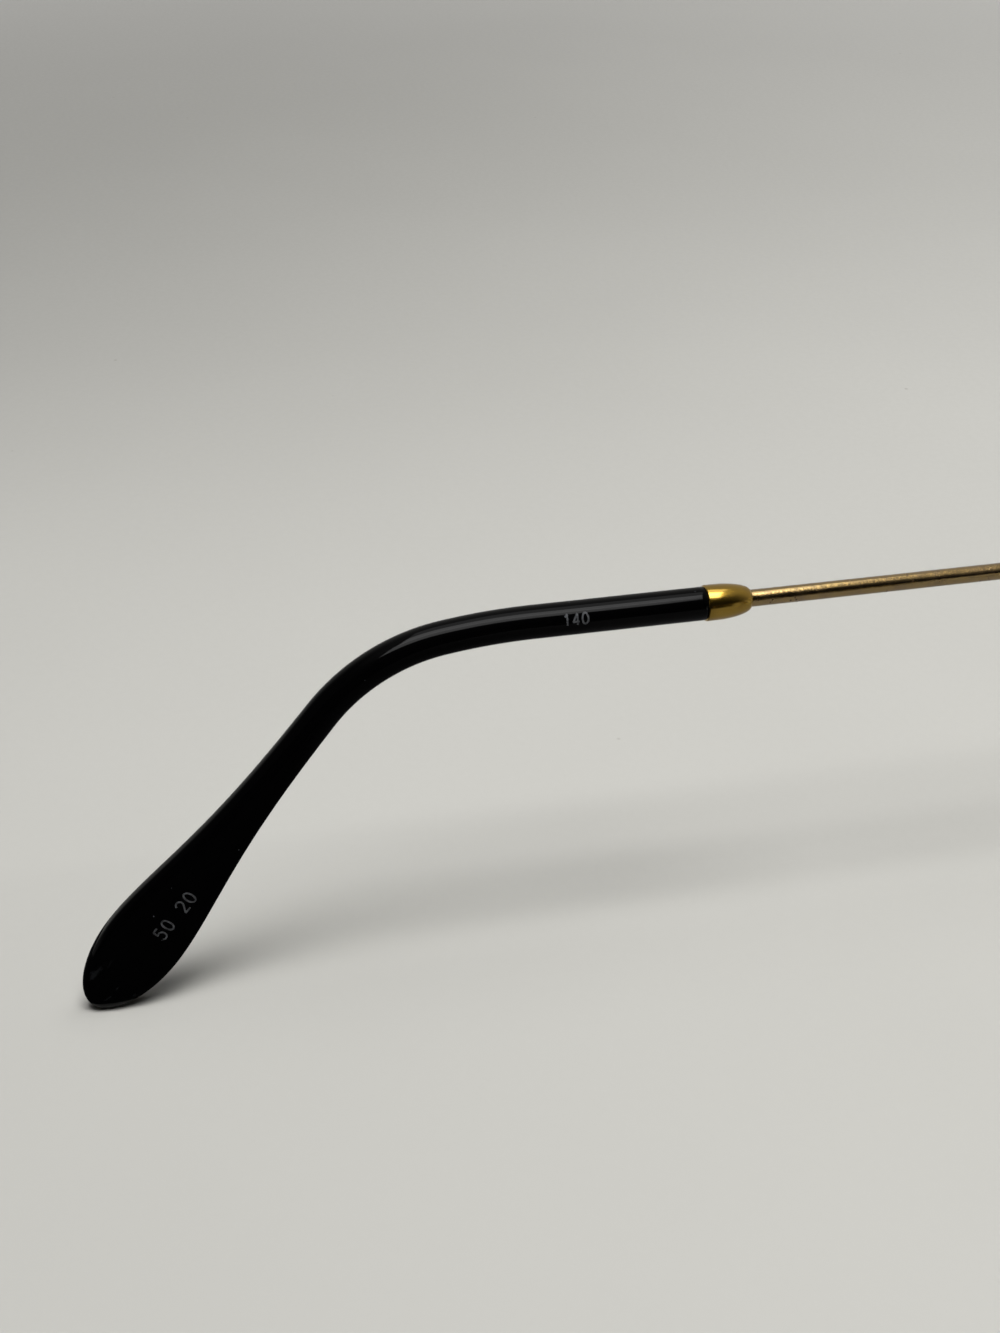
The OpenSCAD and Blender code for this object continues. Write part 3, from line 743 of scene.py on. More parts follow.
@dataclass(frozen=True)
class TableTop(Finish):
    """Pale smooth table top with faint mottling and a fine grain, with painted shade that darkens
    it towards its far corner and its near side.

    Args:
        pale: Colour at the middle.
        painted_shade: Colour that the painted shade gives the far corner.
        grey: Colour of the grain.
        brown: Colour of the specks.
        lean: How much X counts beside Y on the way to the far corner.
        band: Where the change to the far corner begins and ends, in metres.
        depth: Where X makes that change weak and where it makes it full.
        weak: How much of that change stays where X makes it weak.
        near: Where the painted shade on the near side ends and begins, in metres.
        near_painted_shade: Strength of the painted shade on the near side.
        beyond: Distances from the frame over which the plain background takes over.
        plain: Brightness of that background, as in the room.
        mottle, grain: Patterns.
    """

    pale: Triple = (0.603, 0.596, 0.559)
    painted_shade: Triple = (0.408, 0.403, 0.378)
    grey: Triple = (0.5, 0.49, 0.45)
    brown: Triple = (0.3, 0.28, 0.24)
    lean: float = 0.33
    band: Span = (-0.11, 0.21)
    depth: Span = (0.08, 0.26)
    weak: float = 0.2
    near: Span = (0.18, 0.02)
    near_painted_shade: float = 0.3
    beyond: Span = (0.3, 1.0)
    plain: float = 0.44
    mottle: Noise = Noise(9)
    grain: Noise = Noise(900)

    def draw(self) -> bpy.types.Material:
        """Matt paint with slow mottling, fine grain, few small specks and painted shade towards the
        far corner and the near side.
        """
        g = Graph(self.name)
        places = g.places(False)
        x, y, _ = g.axes(places)
        # Painted shade: the colour darkens towards the far corner and the near side, as where light
        # falls off, with slight random mottling added.
        painted_shade_and_mottle = g.ramp(g.plus(y, g.times(x, self.lean)), *self.band)
        painted_shade_and_mottle = g.plus(
            g.times(painted_shade_and_mottle, g.ramp(x, *self.depth, self.weak, 1.0)),
            g.ramp(x, *self.near, 0.0, self.near_painted_shade),
            g.ramp(g.noise(places, self.mottle), 0.35, 0.65, -0.03, 0.03),
        )
        fine = g.noise(places, self.grain)
        speck = g.specks(places, 120, (0.05, 0.02), (0.93, 0.95), 1)
        colour = g.blend(painted_shade_and_mottle, self.pale, self.painted_shade)
        colour = g.blend(g.ramp(fine, 0.3, 0.7, 0.0, 0.04), colour, self.grey)
        far = g.add("VectorMath", {0: places}, operation="LENGTH").outputs["Value"]
        ray = g.add("LightPath").outputs
        seen = g.most(ray["Is Camera Ray"], ray["Is Glossy Ray"], ray["Is Transmission Ray"])
        return g.give({
            "Base Color": g.blend(g.times(speck, 0.5), colour, self.brown),
            "Roughness": g.ramp(fine, 0.3, 0.7, 0.5, 0.6),
            "Specular IOR Level": 0.25,
            "Emission Color": ROOM_TINT,
            "Emission Strength": g.times(g.ramp(far, *self.beyond, 0.0, self.plain), seen),
            "Normal": g.relief((fine, 0.06, 0.02)),
        })


GOLD_PLATE = PlatedMetal(
    "gold_plate", "gold_plate", fresh=(0.56, 0.40, 0.155), worn=(0.42, 0.29, 0.14),
    rough=0.15, wear=0.35, spots=0.2, lines=0.15, grain=0.12,
)
ROD_GOLD = PlatedMetal(
    "worn_bronze_wire", "rod_gold", fresh=(0.345, 0.234, 0.082), worn=(0.265, 0.177, 0.08),
    rough=0.15, wear=0.45, spots=0.75, lines=0.35, grain=0.35, ripple=0.65, lacquer=0.8,
)
FERRULE_GOLD = PlatedMetal(
    "yellow_gold", "ferrule_gold", fresh=(0.365, 0.225, 0.028), worn=(0.295, 0.172, 0.022),
    rough=0.15, wear=0.3, spots=0.2, lines=0.1, grain=0.2, lacquer=0.4,
)
SCREW_GOLD = PlatedMetal(
    "turned_gold", "screw_gold", fresh=(0.52, 0.38, 0.18), worn=(0.40, 0.29, 0.17),
    rough=0.2, wear=0.5, spots=0.3, lines=0.1, grain=0.2,
)
PAD_METAL = PlatedMetal(
    "nickel_plate", "pad_metal", fresh=(0.72, 0.70, 0.66), worn=(0.60, 0.57, 0.52),
    rough=0.22, wear=0.3, spots=0.15, lines=0.1, grain=0.3,
)
TIP_BLACK = GlossBlack("gloss_black", "tip_black")
DEMO_LENS = ClearLens("clear_lens", "demo_lens")
LENS_EDGE = GroundEdge("ground_edge", "demo_lens")
FIGURES = Ink("grey_ink", "tip_black")
PAD_SILICONE = ClearSilicone("clear_silicone", "pad_silicone")
TABLE_TOP = TableTop("table_top", "table_top")


# Places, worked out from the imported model


@dataclass(frozen=True)
class LensOutline:
    """The outline of a left lens, seen from the front, and the sphere that it lies on.

    The outline is a superellipse, r = (|cos a / half width|^n + |sin a / half height|^n)^(-1/n),
    squarer above than below, leaned outwards with height.
    """

    width: float = 50.0
    height: float = 45.0
    gap: float = 20.0
    upper_square: float = 2.7
    lower_square: float = 2.3
    lean: float = 0.07
    sphere_r: float = 130.0
    probe: float = math.radians(1)

    @property
    def middle(self) -> float:
        """Distance of the lens's centre from the middle of the face."""
        return (self.gap + self.width) / 2

    def radius(self, angle: Number) -> Number:
        """Distance of the outline from its centre."""
        n = np.where(np.sin(angle) > 0, self.upper_square, self.lower_square)
        wide = np.abs(np.cos(angle)) / (self.width / 2)
        tall = np.abs(np.sin(angle)) / (self.height / 2)
        return (wide**n + tall**n) ** (-1 / n)

    def edge(self, angle: Number) -> Array:
        """Points of the outline."""
        r = self.radius(angle)
        x, z = r * np.cos(angle), r * np.sin(angle)
        return np.stack([x - self.lean * z, z], -1)

    def outwards(self, angle: Number) -> Array:
        """Directions square to the outline, in the plane of the front."""
        step = self.edge(angle + self.probe) - self.edge(angle - self.probe)
        return unit(np.stack([step[..., 1], -step[..., 0]], -1))

    def on_sphere(self, base: Array, flat: Array, depth: Number) -> Array:
        """Points of the front's plane, put as far back as the sphere is at their base."""
        sag = self.sphere_r - np.sqrt(self.sphere_r**2 - np.linalg.norm(base, axis=-1) ** 2)
        return np.stack([self.middle + flat[..., 0], sag + depth, flat[..., 1]], -1)

    def off_edge(self, angle: Number, out: Number, depth: Number) -> Array:
        """Points at a distance outside the outline and behind the sphere."""
        base = self.edge(angle)
        flat = base + np.asarray(out)[..., None] * self.outwards(angle)
        return self.on_sphere(base, flat, depth)

    def inside(self, share: Array, angle: Array, depth: float) -> Array:
        """Points of the sphere inside the outline, at a share of the way to it."""
        flat = share[..., None] * self.edge(angle)
        return self.on_sphere(flat, flat, depth)

    def angle_up(self, height: float) -> float:
        """The angle on the outer side at which the outline has a height."""
        angle = 0.0
        for _ in range(14):
            angle = math.asin(height / float(self.radius(angle)))
        return angle


@dataclass(frozen=True)
class RimWire:
    """The rim's wire: outside depth, thickness, groove and corners.

    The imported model's rim has 88 chamfered sections. Its lowest corner stands on the table,
    and the round one here is drawn a little smaller, so that it stays inside.
    """

    out: float = 1.1
    drawn_in: float = 0.035
    sections: int = 88
    thick: float = 1.5
    bevel: float = 0.45
    play: float = 0.05
    corner: float = 0.36
    lip: float = 0.405

    def section(self) -> Array:
        """The wire's section as rows of distance outside the lens and distance back."""
        half, edge, out = self.thick / 2, -self.bevel, self.out - self.drawn_in
        corners = np.array([
            [edge, -half], [edge, -self.lip], [self.play, 0], [edge, self.lip],
            [edge, half], [out, half], [out, -half],
        ])
        return rounded(corners, [0.12, 0.1, 0.05, 0.1, 0.12, 0.5, 0.5])

    def packed(self) -> Array:
        """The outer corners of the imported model's section."""
        half, chamfer = self.thick / 2, self.corner
        return np.array([
            [self.out - chamfer, half], [self.out, half - chamfer],
            [self.out, chamfer - half], [self.out - chamfer, -half],
        ])


@dataclass
class Layout:
    """Where the front, the hinges, the temples and the pads stand.

    Args:
        joints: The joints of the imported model.
        hinge_back: How far the hinge pins are behind the front's plane.
        temple_x: Distance of a temple's wire from the middle of the face.
    """

    joints: Sequence[dict]
    hinge_back: float = 9.0
    temple_x: float = 66.0

    def __post_init__(self) -> None:
        """Works the places out.

        The rims stand on the table, which gives the height of the lens centres, and the
        hinge pins lie in the temples' own height.
        """
        self.outline = LensOutline()
        self.rim = RimWire()
        fold = next(joint for joint in self.joints if joint["name"] == "left_temple_fold")
        pin, axis = np.array(fold["pos_m"]) / MM, fold["axis"]
        self.tilt = math.atan2(-axis[1], axis[2])
        angle = np.arange(self.rim.sections) * TURN / self.rim.sections
        wire = self.outline.off_edge(angle[:, None], *self.rim.packed().T)
        fall, stand = math.sin(self.tilt), math.cos(self.tilt)
        self.front_z = -float((wire[..., 1] * fall + wire[..., 2] * stand).min())
        self.hinge_x, self.hinge_y, self.temple_z = pin.tolist()
        self.hinge_h = (self.temple_z - self.front_z - self.hinge_back * fall) / stand
        self.shift_y = self.hinge_y - (self.hinge_back * stand - self.hinge_h * fall)
        self.mouth = np.array([self.temple_x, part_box("ferrule_left")[1][1] / MM, self.temple_z])

    def front(self, points: Array) -> Array:
        """Points of the front, from its own upright frame to the tilted frame on the table."""
        fall, stand = math.sin(self.tilt), math.cos(self.tilt)
        x, y, z = np.moveaxis(points, -1, 0)
        back, up = y * stand - z * fall, y * fall + z * stand
        return np.stack([x, back + self.shift_y, up + self.front_z], -1)


# Front: rims, lenses, bridge, closing blocks and endpieces


@dataclass
class FrontOfFrame:
    """Rims, lenses, bridge, closing blocks and endpieces.

    Args:
        layout: Where everything stands.
        slit: Opening of the rim.
        solder: Gap between a rim and what is soldered to it.
        spread: How much wider the bridge's ends are, and over what length.
        flattened: How much thinner the bridge's ends are, and over what length.
        turns: Steps round a lens.
    """

    layout: Layout
    slit: float = 0.4
    solder: float = 0.05
    block_w: float = 2.6
    block_h: float = 2.2
    block_edge: float = 0.22
    endpiece_h: float = 3.2
    endpiece_edge: float = 0.25
    bridge_r: float = 0.95
    bridge_rise: float = 3.2
    bridge_h: float = 8.4
    spread: Span = (0.22, 0.9)
    flattened: Span = (0.26, 1.6)
    lens_t: float = 1.798
    turns: int = 360

    def __post_init__(self) -> None:
        """Works out where the rim's slit is, and where the soldered parts begin."""
        self.outline = self.layout.outline
        under = self.layout.hinge_h - self.endpiece_h / 2 - self.solder
        self.slit_h = under - self.block_h - self.slit / 2
        self.slit_angle = self.outline.angle_up(self.slit_h)
        self.reach = self.layout.rim.out + self.solder

    def build(self) -> None:
        """Makes every piece of the front."""
        for side in Side:
            self.rim(side)
            self.lens(side)
            for half in ("upper", "lower"):
                node, name = side.of(f"closing_block_{half}"), side.of(f"block_{half}")
                softened(node, name, self.block_edge, GOLD_PLATE, "front")
            node, name = side.of("endpiece"), side.of("end_piece")
            softened(node, name, self.endpiece_edge, GOLD_PLATE, "front")
        self.bridge()

    def rim(self, side: Side) -> None:
        """A rim: the wire's section carried round the outline from one end of the slit on."""
        half = self.slit / 2 / float(self.outline.radius(self.slit_angle))
        angle = self.slit_angle + np.linspace(half, TURN - half, self.turns + 1)
        section = self.layout.rim.section()
        rings = self.outline.off_edge(angle[:, None], *section.T)
        shape = np.broadcast_to(section, rings.shape[:2] + (2,))
        straight = np.concatenate([column(along(rings[:, 0]), shape), shape], -1)
        shell = tube(side.place(self.layout.front(rings)), straight)
        make_piece(side.of("rim_wire"), [shell], GOLD_PLATE, "front", side.of("rim"))

    def lens(self, side: Side) -> None:
        """A lens: front face, bevelled edge and back face as rings round its centre."""
        angle = np.arange(self.turns) * TURN / self.turns
        half, rim = self.lens_t / 2, self.layout.rim
        groove, shoulder = rim.bevel + rim.play, rim.lip * 0.8
        profile = rounded(np.array([
            [-groove - 0.4, -half], [-groove, -half], [-rim.bevel, -shoulder], [0, 0],
            [-rim.bevel, shoulder], [-groove, half], [-groove - 0.4, half],
        ]), [0, 0.05, 0.05, 0.08, 0.05, 0.05, 0], 3)[4:-4]
        share = np.linspace(0.02, 0.97, 24)[:, None]
        front = self.outline.inside(share, angle, -half)
        edge = self.outline.off_edge(angle, profile[:, :1], profile[:, 1:])
        back = self.outline.inside(share[::-1], angle, half)
        rings = side.place(self.layout.front(np.concatenate([front, edge, back])))
        name, node = side.of("clear_lens"), side.of("lens")
        lens = make_piece(name, [tube(rings)], DEMO_LENS, "front", node, 25)
        ground = np.arange(len(front), len(front) + len(edge) - 1)
        dress(lens, LENS_EDGE, (ground[:, None] * self.turns + np.arange(self.turns)).ravel())

    def bridge(self) -> None:
        """The bridge: round wire on an arc, flattened and spread where it meets the rims."""
        at = math.pi - self.outline.angle_up(self.bridge_h)
        edge = self.outline.off_edge(at, self.reach, 0.0)
        half = float(edge[0]) + self.bridge_r
        arc_r = (half**2 + self.bridge_rise**2) / (2 * self.bridge_rise)
        arc = math.asin(half / arc_r)
        turn = np.linspace(arc, -arc, 97)
        centre = np.array([0, edge[1], edge[2] + self.bridge_rise - arc_r])
        path = centre + arc_r * np.stack([np.sin(turn), np.zeros_like(turn), np.cos(turn)], -1)
        distance = along(path)
        end = np.minimum(distance, distance[-1] - distance)
        (wider, over), (thinner, within) = self.spread, self.flattened
        deep, wide = 1 - thinner * np.exp(-((end / within) ** 2)), 1 + wider * np.exp(-end / over)
        size = np.stack([deep, wide], -1)
        rings, straight = carried(path, circle(self.bridge_r, 40) * size[:, None])
        shell = tube(self.layout.front(rings), straight)
        make_piece("bridge_wire", [shell], GOLD_PLATE, "front", "bridge")


# Screws and nose pads


@dataclass(frozen=True)
class Screw:
    """A slotted screw that stands along its own Z with the underside of its head at 0."""

    shank_r: float
    shank_len: float
    head_r: float
    head_h: float = 0.55
    crown: float = 0.22
    slot_w: float = 0.28
    slot_d: float = 0.3
    sides: int = 40

    def head(self) -> Shell:
        """The head: columns across the slot, each a closed outline from edge to edge.

        The top is h - crown h (r / R)^4, less the slot's depth inside the slot.
        """
        half = self.slot_w / 2
        plain = self.head_r * np.sin(np.linspace(math.radians(9), math.radians(87), 14))
        plain = plain[plain > half + 0.03]
        one = np.concatenate([[0.0, half - 0.015, half + 0.01], plain])
        x = np.concatenate([-one[:0:-1], one])
        y = np.linspace(-1, 1, 21) * np.sqrt(self.head_r**2 - x**2)[:, None]
        x = np.broadcast_to(x[:, None], y.shape)
        far = (x**2 + y**2) / self.head_r**2
        top = self.head_h * (1 - self.crown * far**2)
        top = np.where(np.abs(x) < half, np.minimum(top, self.head_h - self.slot_d), top)
        low, high = np.stack([x, y, np.zeros_like(y)], -1), np.stack([x, y, top], -1)
        return tube(np.concatenate([low, high[:, ::-1]], 1))

    def shank(self) -> Shell:
        """The shank, with a chamfer at its end."""
        profile = np.array([
            [self.shank_r * 0.6, -self.shank_len], [self.shank_r - 0.1, -self.shank_len],
            [self.shank_r, -self.shank_len + 0.12], [self.shank_r, 0.1],
        ])
        return tube(turned(profile, self.sides))

    def build(self, turn: float, side: Side, node: str, where: Placing) -> None:
        """Makes the screw.

        Args:
            turn: How far it is turned about its own axis.
            side: Its side.
            node: The CAD node that it replaces.
            where: Takes points of the screw's own frame to the left side's place.
        """
        c, s = math.cos(turn), math.sin(turn)
        about = np.array([[c, s, 0], [-s, c, 0], [0, 0, 1.0]])
        shells = [
            shell.moved(lambda own: side.place(where(own @ about))).outward()
            for shell in (self.head(), self.shank())
        ]
        make_piece(f"slotted_{node}", shells, SCREW_GOLD, "front", node, 38)


@dataclass
class NosePads:
    """Pads, their metal inserts, the boxes that hold them and the arms that carry the boxes.

    Args:
        layout: Where everything stands.
        wall: Share of a pad's thickness that its wall has, under the crown.
        turned_in: How far the pad's back edge is rounded, in shares of width and thickness.
        root_fillet: How much thicker the arm is at the rim, and over what length.
        box_fillet: How much thicker it is at the box, and over what length.
    """

    layout: Layout
    long: float = 13.0
    wide: float = 7.0
    thick: float = 2.4
    x: float = 10.6
    back: float = 8.2
    drop: float = 9.0
    lean: float = math.radians(20)
    splay: float = math.radians(28)
    taper: float = 0.16
    wall: float = 0.35
    turned_in: Span = (0.14, 0.16)
    plane: float = -1.0
    arm_r: float = 0.5
    arm_above: float = 3.0
    arm_from_rim: float = 3.2
    arm_to_box: float = 2.4
    root_fillet: Span = (0.3, 0.35)
    box_fillet: Span = (0.12, 0.3)
    box_floor: float = 0.9
    box_wall: float = 0.5
    box_in: float = 0.06
    box_edge: float = 0.1
    lug_w: float = 0.9
    insert_edge: float = 0.08
    sides: int = 96

    def from_pad(self, points: Array) -> Array:
        """Points of a pad's own frame in the upright frame of the front."""
        x, y, z = np.moveaxis(np.asarray(points, float), -1, 0)
        c, s = math.cos(-self.lean), math.sin(-self.lean)
        x, z = x * c + z * s, z * c - x * s
        c, s = math.cos(-self.splay), math.sin(-self.splay)
        x, y = x * c - y * s, x * s + y * c
        return np.stack([x, y, z], -1) + [self.x, self.back, -self.drop]

    def build(self) -> None:
        """Makes the pads of both sides."""
        for side in Side:
            self.pad(side)
            self.arm(side)
            box, insert = side.of("pad_box"), side.of("pad_insert")
            softened(box, side.of("box_of_pad"), self.box_edge, GOLD_PLATE, "front")
            softened(insert, side.of("insert"), self.insert_edge, PAD_METAL, side.of("pad"))

    def pad(self, side: Side) -> None:
        """A pad: a rounded drop in outline, flat behind and crowned in front.

        The outline is (-w/2 sin a (1 - t cos a), l/2 cos a). It shrinks over the crown as
        cos b while the depth grows as sin b, and the back edge is rounded in the same way.
        """
        angle = np.arange(self.sides) * TURN / self.sides
        outline = np.stack([
            -self.wide / 2 * np.sin(angle) * (1 - self.taper * np.cos(angle)),
            self.long / 2 * np.cos(angle),
        ], -1)
        over = np.linspace(0, math.pi / 2, 18)[:-1]
        crown = np.stack([np.cos(over) ** 0.9, self.wall + (1 - self.wall) * np.sin(over)], -1)
        turn = np.linspace(math.pi / 2, 0, 7)
        less, deep = self.turned_in
        back = np.stack([1 - less + less * np.cos(turn), deep * (1 - np.sin(turn))], -1)
        middle = np.stack([np.linspace(0.1, 0.8, 8), np.zeros(8)], -1)
        layers = np.concatenate([middle, back, crown])
        flat = layers[:, None, :1] * outline
        own = np.concatenate([column(self.plane - self.thick * layers[:, 1], flat), flat], -1)
        shell = tube(side.place(self.layout.front(self.from_pad(own))), own)
        name, node = side.of("silicone_pad"), side.of("nose_pad")
        make_piece(name, [shell], PAD_SILICONE, side.of("pad"), node, 60)

    def arm(self, side: Side) -> None:
        """A pad arm: round wire on a cubic curve from the back of the rim to the box."""
        outline, rim = self.layout.outline, self.layout.rim
        at = math.pi + outline.angle_up(self.drop - self.arm_above)
        root = outline.off_edge(at, (rim.out - rim.bevel) / 2, rim.thick / 2)
        box = self.box_floor + self.box_wall
        path = bezier(np.linspace(0, 1, 49)[:, None], [
            root - [0, 0.15, 0], root + [0, self.arm_from_rim, 0],
            self.from_pad([box + self.arm_to_box, 0, 0]), self.from_pad([box - 0.1, 0, 0]),
        ])
        distance = along(path)
        (root_r, root_len), (box_r, box_len) = self.root_fillet, self.box_fillet
        radius = self.arm_r + root_r * np.exp(-distance / root_len)
        radius += box_r * np.exp((distance - distance[-1]) / box_len)
        rings, straight = carried(path, circle(radius, 24))
        shell = tube(side.place(self.layout.front(rings)), straight)
        make_piece(side.of("arm_of_pad"), [shell], GOLD_PLATE, "front", side.of("pad_arm"))

    def screw(self, side: Side) -> None:
        """The pad's screw, whose Z lies along the pad's Y."""
        reach = self.lug_w / 2 + self.box_in + self.box_wall
        lay = np.array([[1, 0, 0], [0, 0, -1], [0, 1, 0]])

        def where(own: Array) -> Array:
            """The screw's own frame, on the left side."""
            return self.layout.front(self.from_pad(own @ lay + [0, reach, 0]))

        Screw(0.42, 2 * reach, 0.75, slot_w=0.22).build(0.3, side, side.of("pad_screw"), where)


@dataclass
class Screws:
    """The hinge screws, the rim screws and the pad screws.

    Args:
        front: The front that the first two kinds go into.
        pads: The pads, which know their own screws.
        setback: How far the rim screws stand behind the edge of the lens.
    """

    front: FrontOfFrame
    pads: NosePads
    mid_barrel_h: float = 1.2
    side_barrel_h: float = 1.25
    hinge_play: float = 0.06
    setback: float = 0.3

    def build(self) -> None:
        """Makes the six screws. The rim screws' heads are below."""
        front, layout = self.front, self.front.layout
        side_to = self.mid_barrel_h / 2 + self.hinge_play + self.side_barrel_h
        hinge = Screw(0.7, 2 * side_to, 1.05)
        closing = Screw(0.6, 2 * front.block_h + front.slit, 1.0)
        top = np.array([layout.hinge_x, layout.hinge_back, layout.hinge_h + side_to])
        x, y, _ = layout.outline.off_edge(front.slit_angle, front.reach, 0.0)
        low = [x + front.block_w / 2, y + self.setback, front.slit_h - closing.shank_len / 2]
        under = np.array([1.0, -1.0, -1.0])
        for side in Side:
            hinge.build(0.5, side, side.of("hinge_screw"), lambda own: layout.front(own + top))
            closing.build(
                1.1, side, side.of("rim_screw"), lambda own: layout.front(own * under + low)
            )
            self.pads.screw(side)


# Temples


def bow(middle: Span, half: Span, start: float, stop: float) -> Array:
    """Points of part of an ellipse, from one angle in degrees to another."""
    angle = np.radians(np.linspace(start, stop, 14))
    return np.asarray(middle) + np.stack([half[0] * np.cos(angle), half[1] * np.sin(angle)], -1)


FIGURE_WIDTH = 0.6
FIGURE_PITCH = 0.82
FIGURE_LINES = {
    "0": bow((0.3, 0.5), (0.26, 0.47), 90, 450),
    "1": np.array([[0.14, 0.76], [0.3, 0.9], [0.36, 0.97], [0.36, 0.6], [0.36, 0.03]]),
    "2": np.concatenate([
        bow((0.3, 0.71), (0.25, 0.26), 170, -35), [[0.06, 0.04], [0.3, 0.03], [0.56, 0.03]],
    ]),
    "4": np.array([
        [0.44, 0.02], [0.44, 0.6], [0.44, 0.97], [0.24, 0.64],
        [0.04, 0.3], [0.3, 0.29], [0.6, 0.29],
    ]),
    "5": np.concatenate([
        [[0.53, 0.97], [0.3, 0.97], [0.14, 0.96], [0.11, 0.56]],
        bow((0.28, 0.33), (0.26, 0.3), 125, -140),
    ]),
}


@dataclass(frozen=True)
class Print:
    """Printed figures.

    Args:
        text: The figures, which read towards the front on the left temple.
        centre: Distance of the line's middle from the mouth.
        middle: Where the line runs across the width.
        high: Height of the figures.
    """

    text: str
    centre: float
    middle: float
    high: float


@dataclass
class Temple:
    """One temple: hinge half, wire, ferrule and tip.

    Args:
        layout: Where everything stands.
        side: Its side.
        easy_r, easy: Radius and angle of the gentle bend.
        ear_r, ear: Radius and angle of the bend behind the ear.
        lean: How far the tip leans inwards.
        widen_late: Power that makes the width grow later than the thickness shrinks.
        prints: What stands on the tip's inner side.
        stroke: Width of a figure's line.
        ink_t: Thickness of the ink.
    """

    layout: Layout
    side: Side
    hinge_edge: float = 0.2
    rod_r: float = 0.8
    rod_from: float = 3.0
    core_r: float = 0.65
    core_len: float = 61.0
    ferrule_len: float = 4.38
    ferrule_r: float = 1.665
    ferrule_play: float = 0.01
    nose_r: float = 0.93
    shoulder: float = 1.2
    tip_len: float = 71.88
    tip_r: float = 1.55
    tip_play: float = 0.04
    lip: float = 0.14
    straight_len: float = 15.9
    easy_r: float = 61.0
    easy: float = math.radians(7.9)
    ear_r: float = 18.2
    ear: float = math.radians(41)
    lean: float = math.radians(8)
    paddle_r: float = 3.745
    paddle_t: float = 1.3
    widen_from: float = 28.0
    widen_late: float = 2.3
    paddle_end: float = 7.8
    prints: tuple[Print, ...] = (
        Print("140", 12.4, -0.38, 1.05), Print("50 20", 60.0, 0.45, 1.35),
    )
    stroke: float = 0.17
    ink_t: float = 0.012
    sides: int = 72

    @property
    def body(self) -> str:
        """The CAD body that the temple's pieces ride on."""
        return self.side.of("temple")

    def build(self) -> None:
        """Makes the temple's pieces."""
        node, name = self.side.of("temple_hinge"), self.side.of("hinge_half")
        softened(node, name, self.hinge_edge, GOLD_PLATE, self.body)
        self.rod()
        self.ferrule()
        self.tip()

    def bend(self, distance: Array) -> tuple[Array, Array]:
        """The tip's middle line: straight, an easy arc, the ear's arc and straight again.

        An arc of radius r that starts at slope a adds r (sin b - sin a) to the distance
        back and r (cos a - cos b) to the distance down, where b is the slope reached.

        Args:
            distance: Distances from the mouth, negative on the wire's side.

        Returns:
            The points as rows of distance back and distance down, and the slopes.
        """
        back, down = np.minimum(distance, self.straight_len), np.zeros_like(distance)
        slope = np.zeros_like(distance)
        start, before = self.straight_len, 0.0
        for radius, angle in ((self.easy_r, self.easy), (self.ear_r, self.ear)):
            bent = np.clip((distance - start) / radius, 0, angle)
            back += radius * (np.sin(before + bent) - math.sin(before))
            down += radius * (math.cos(before) - np.cos(before + bent))
            slope += bent
            start, before = start + radius * angle, before + angle
        beyond = np.maximum(distance - start, 0)[:, None]
        end = beyond * [math.cos(before), math.sin(before)]
        return np.stack([back, down], -1) + end, slope

    def sweep(self, distance: Array, section: Array) -> tuple[Array, Array]:
        """Sections carried along the tip's middle line.

        In front of the mouth they stand upright, because round wire shows no lean.

        Args:
            distance: Distance of each section from the mouth.
            section: Rows of width (towards the inside of the bend) and thickness (inwards).

        Returns:
            The rings in place, and the rings laid out straight.
        """
        middle, slope = self.bend(distance)
        wide, thick = section[..., 0], section[..., 1]
        s, c = np.sin(slope)[:, None], np.cos(slope)[:, None]
        x, y, z = thick, middle[:, :1] - wide * s, -middle[:, 1:] - wide * c
        lean = np.where(distance < 0, 0.0, self.lean)[:, None]
        s, c = np.sin(lean), np.cos(lean)
        leaned = np.stack([x * c + z * s, y, z * c - x * s], -1)
        straight = np.concatenate([column(distance, section), section], -1)
        return self.side.place(leaned + self.layout.mouth), straight

    def rod(self) -> None:
        """The wire: from the hinge's socket to the mouth, then thinner inside the tip."""
        start = self.layout.hinge_y + self.rod_from - self.layout.mouth[1]
        outer, inner = np.linspace(start, -0.02, 90), np.linspace(0.0, self.core_len, 70)
        distance = np.concatenate([outer, inner])
        radius = np.where(distance < 0, self.rod_r, self.core_r)
        radius[0] -= 0.05
        rings, straight = self.sweep(distance, circle(radius, 40))
        name, node = self.side.of("temple_wire"), self.side.of("temple_rod")
        make_piece(name, [tube(rings, straight)], ROD_GOLD, self.body, node)

    def ferrule(self) -> None:
        """The ferrule: a bell turned about the wire, with its bore.

        Behind the shoulder the radius is nose + (R - nose) (1 - u^1.85)^(1 / 1.7).
        """
        bore, long, wide, nose = (
            self.rod_r + self.ferrule_play, self.ferrule_len, self.ferrule_r, self.nose_r,
        )
        u = np.sin(np.linspace(0, math.pi / 2, 28))
        radius = nose + (wide - nose) * (1 - u**1.85) ** (1 / 1.7)
        bell = np.stack([radius, self.shoulder + (long - 0.08 - self.shoulder) * u], -1)
        profile = np.concatenate([
            [[bore, 0], [wide - 0.1, 0], [wide - 0.03, 0.04], [wide, 0.12]], bell,
            [[nose - 0.02, long - 0.02], [nose - 0.06, long], [bore, long]],
        ])
        x, z, y = np.moveaxis(turned(profile, 96), -1, 0)
        own, straight = np.stack([x, -y, z], -1), np.stack([y, x, z], -1)
        shell = hoop(self.side.place(own + self.layout.mouth), straight)
        name, node = self.side.of("gold_ferrule"), self.side.of("ferrule")
        make_piece(name, [shell], FERRULE_GOLD, self.body, node, 40)

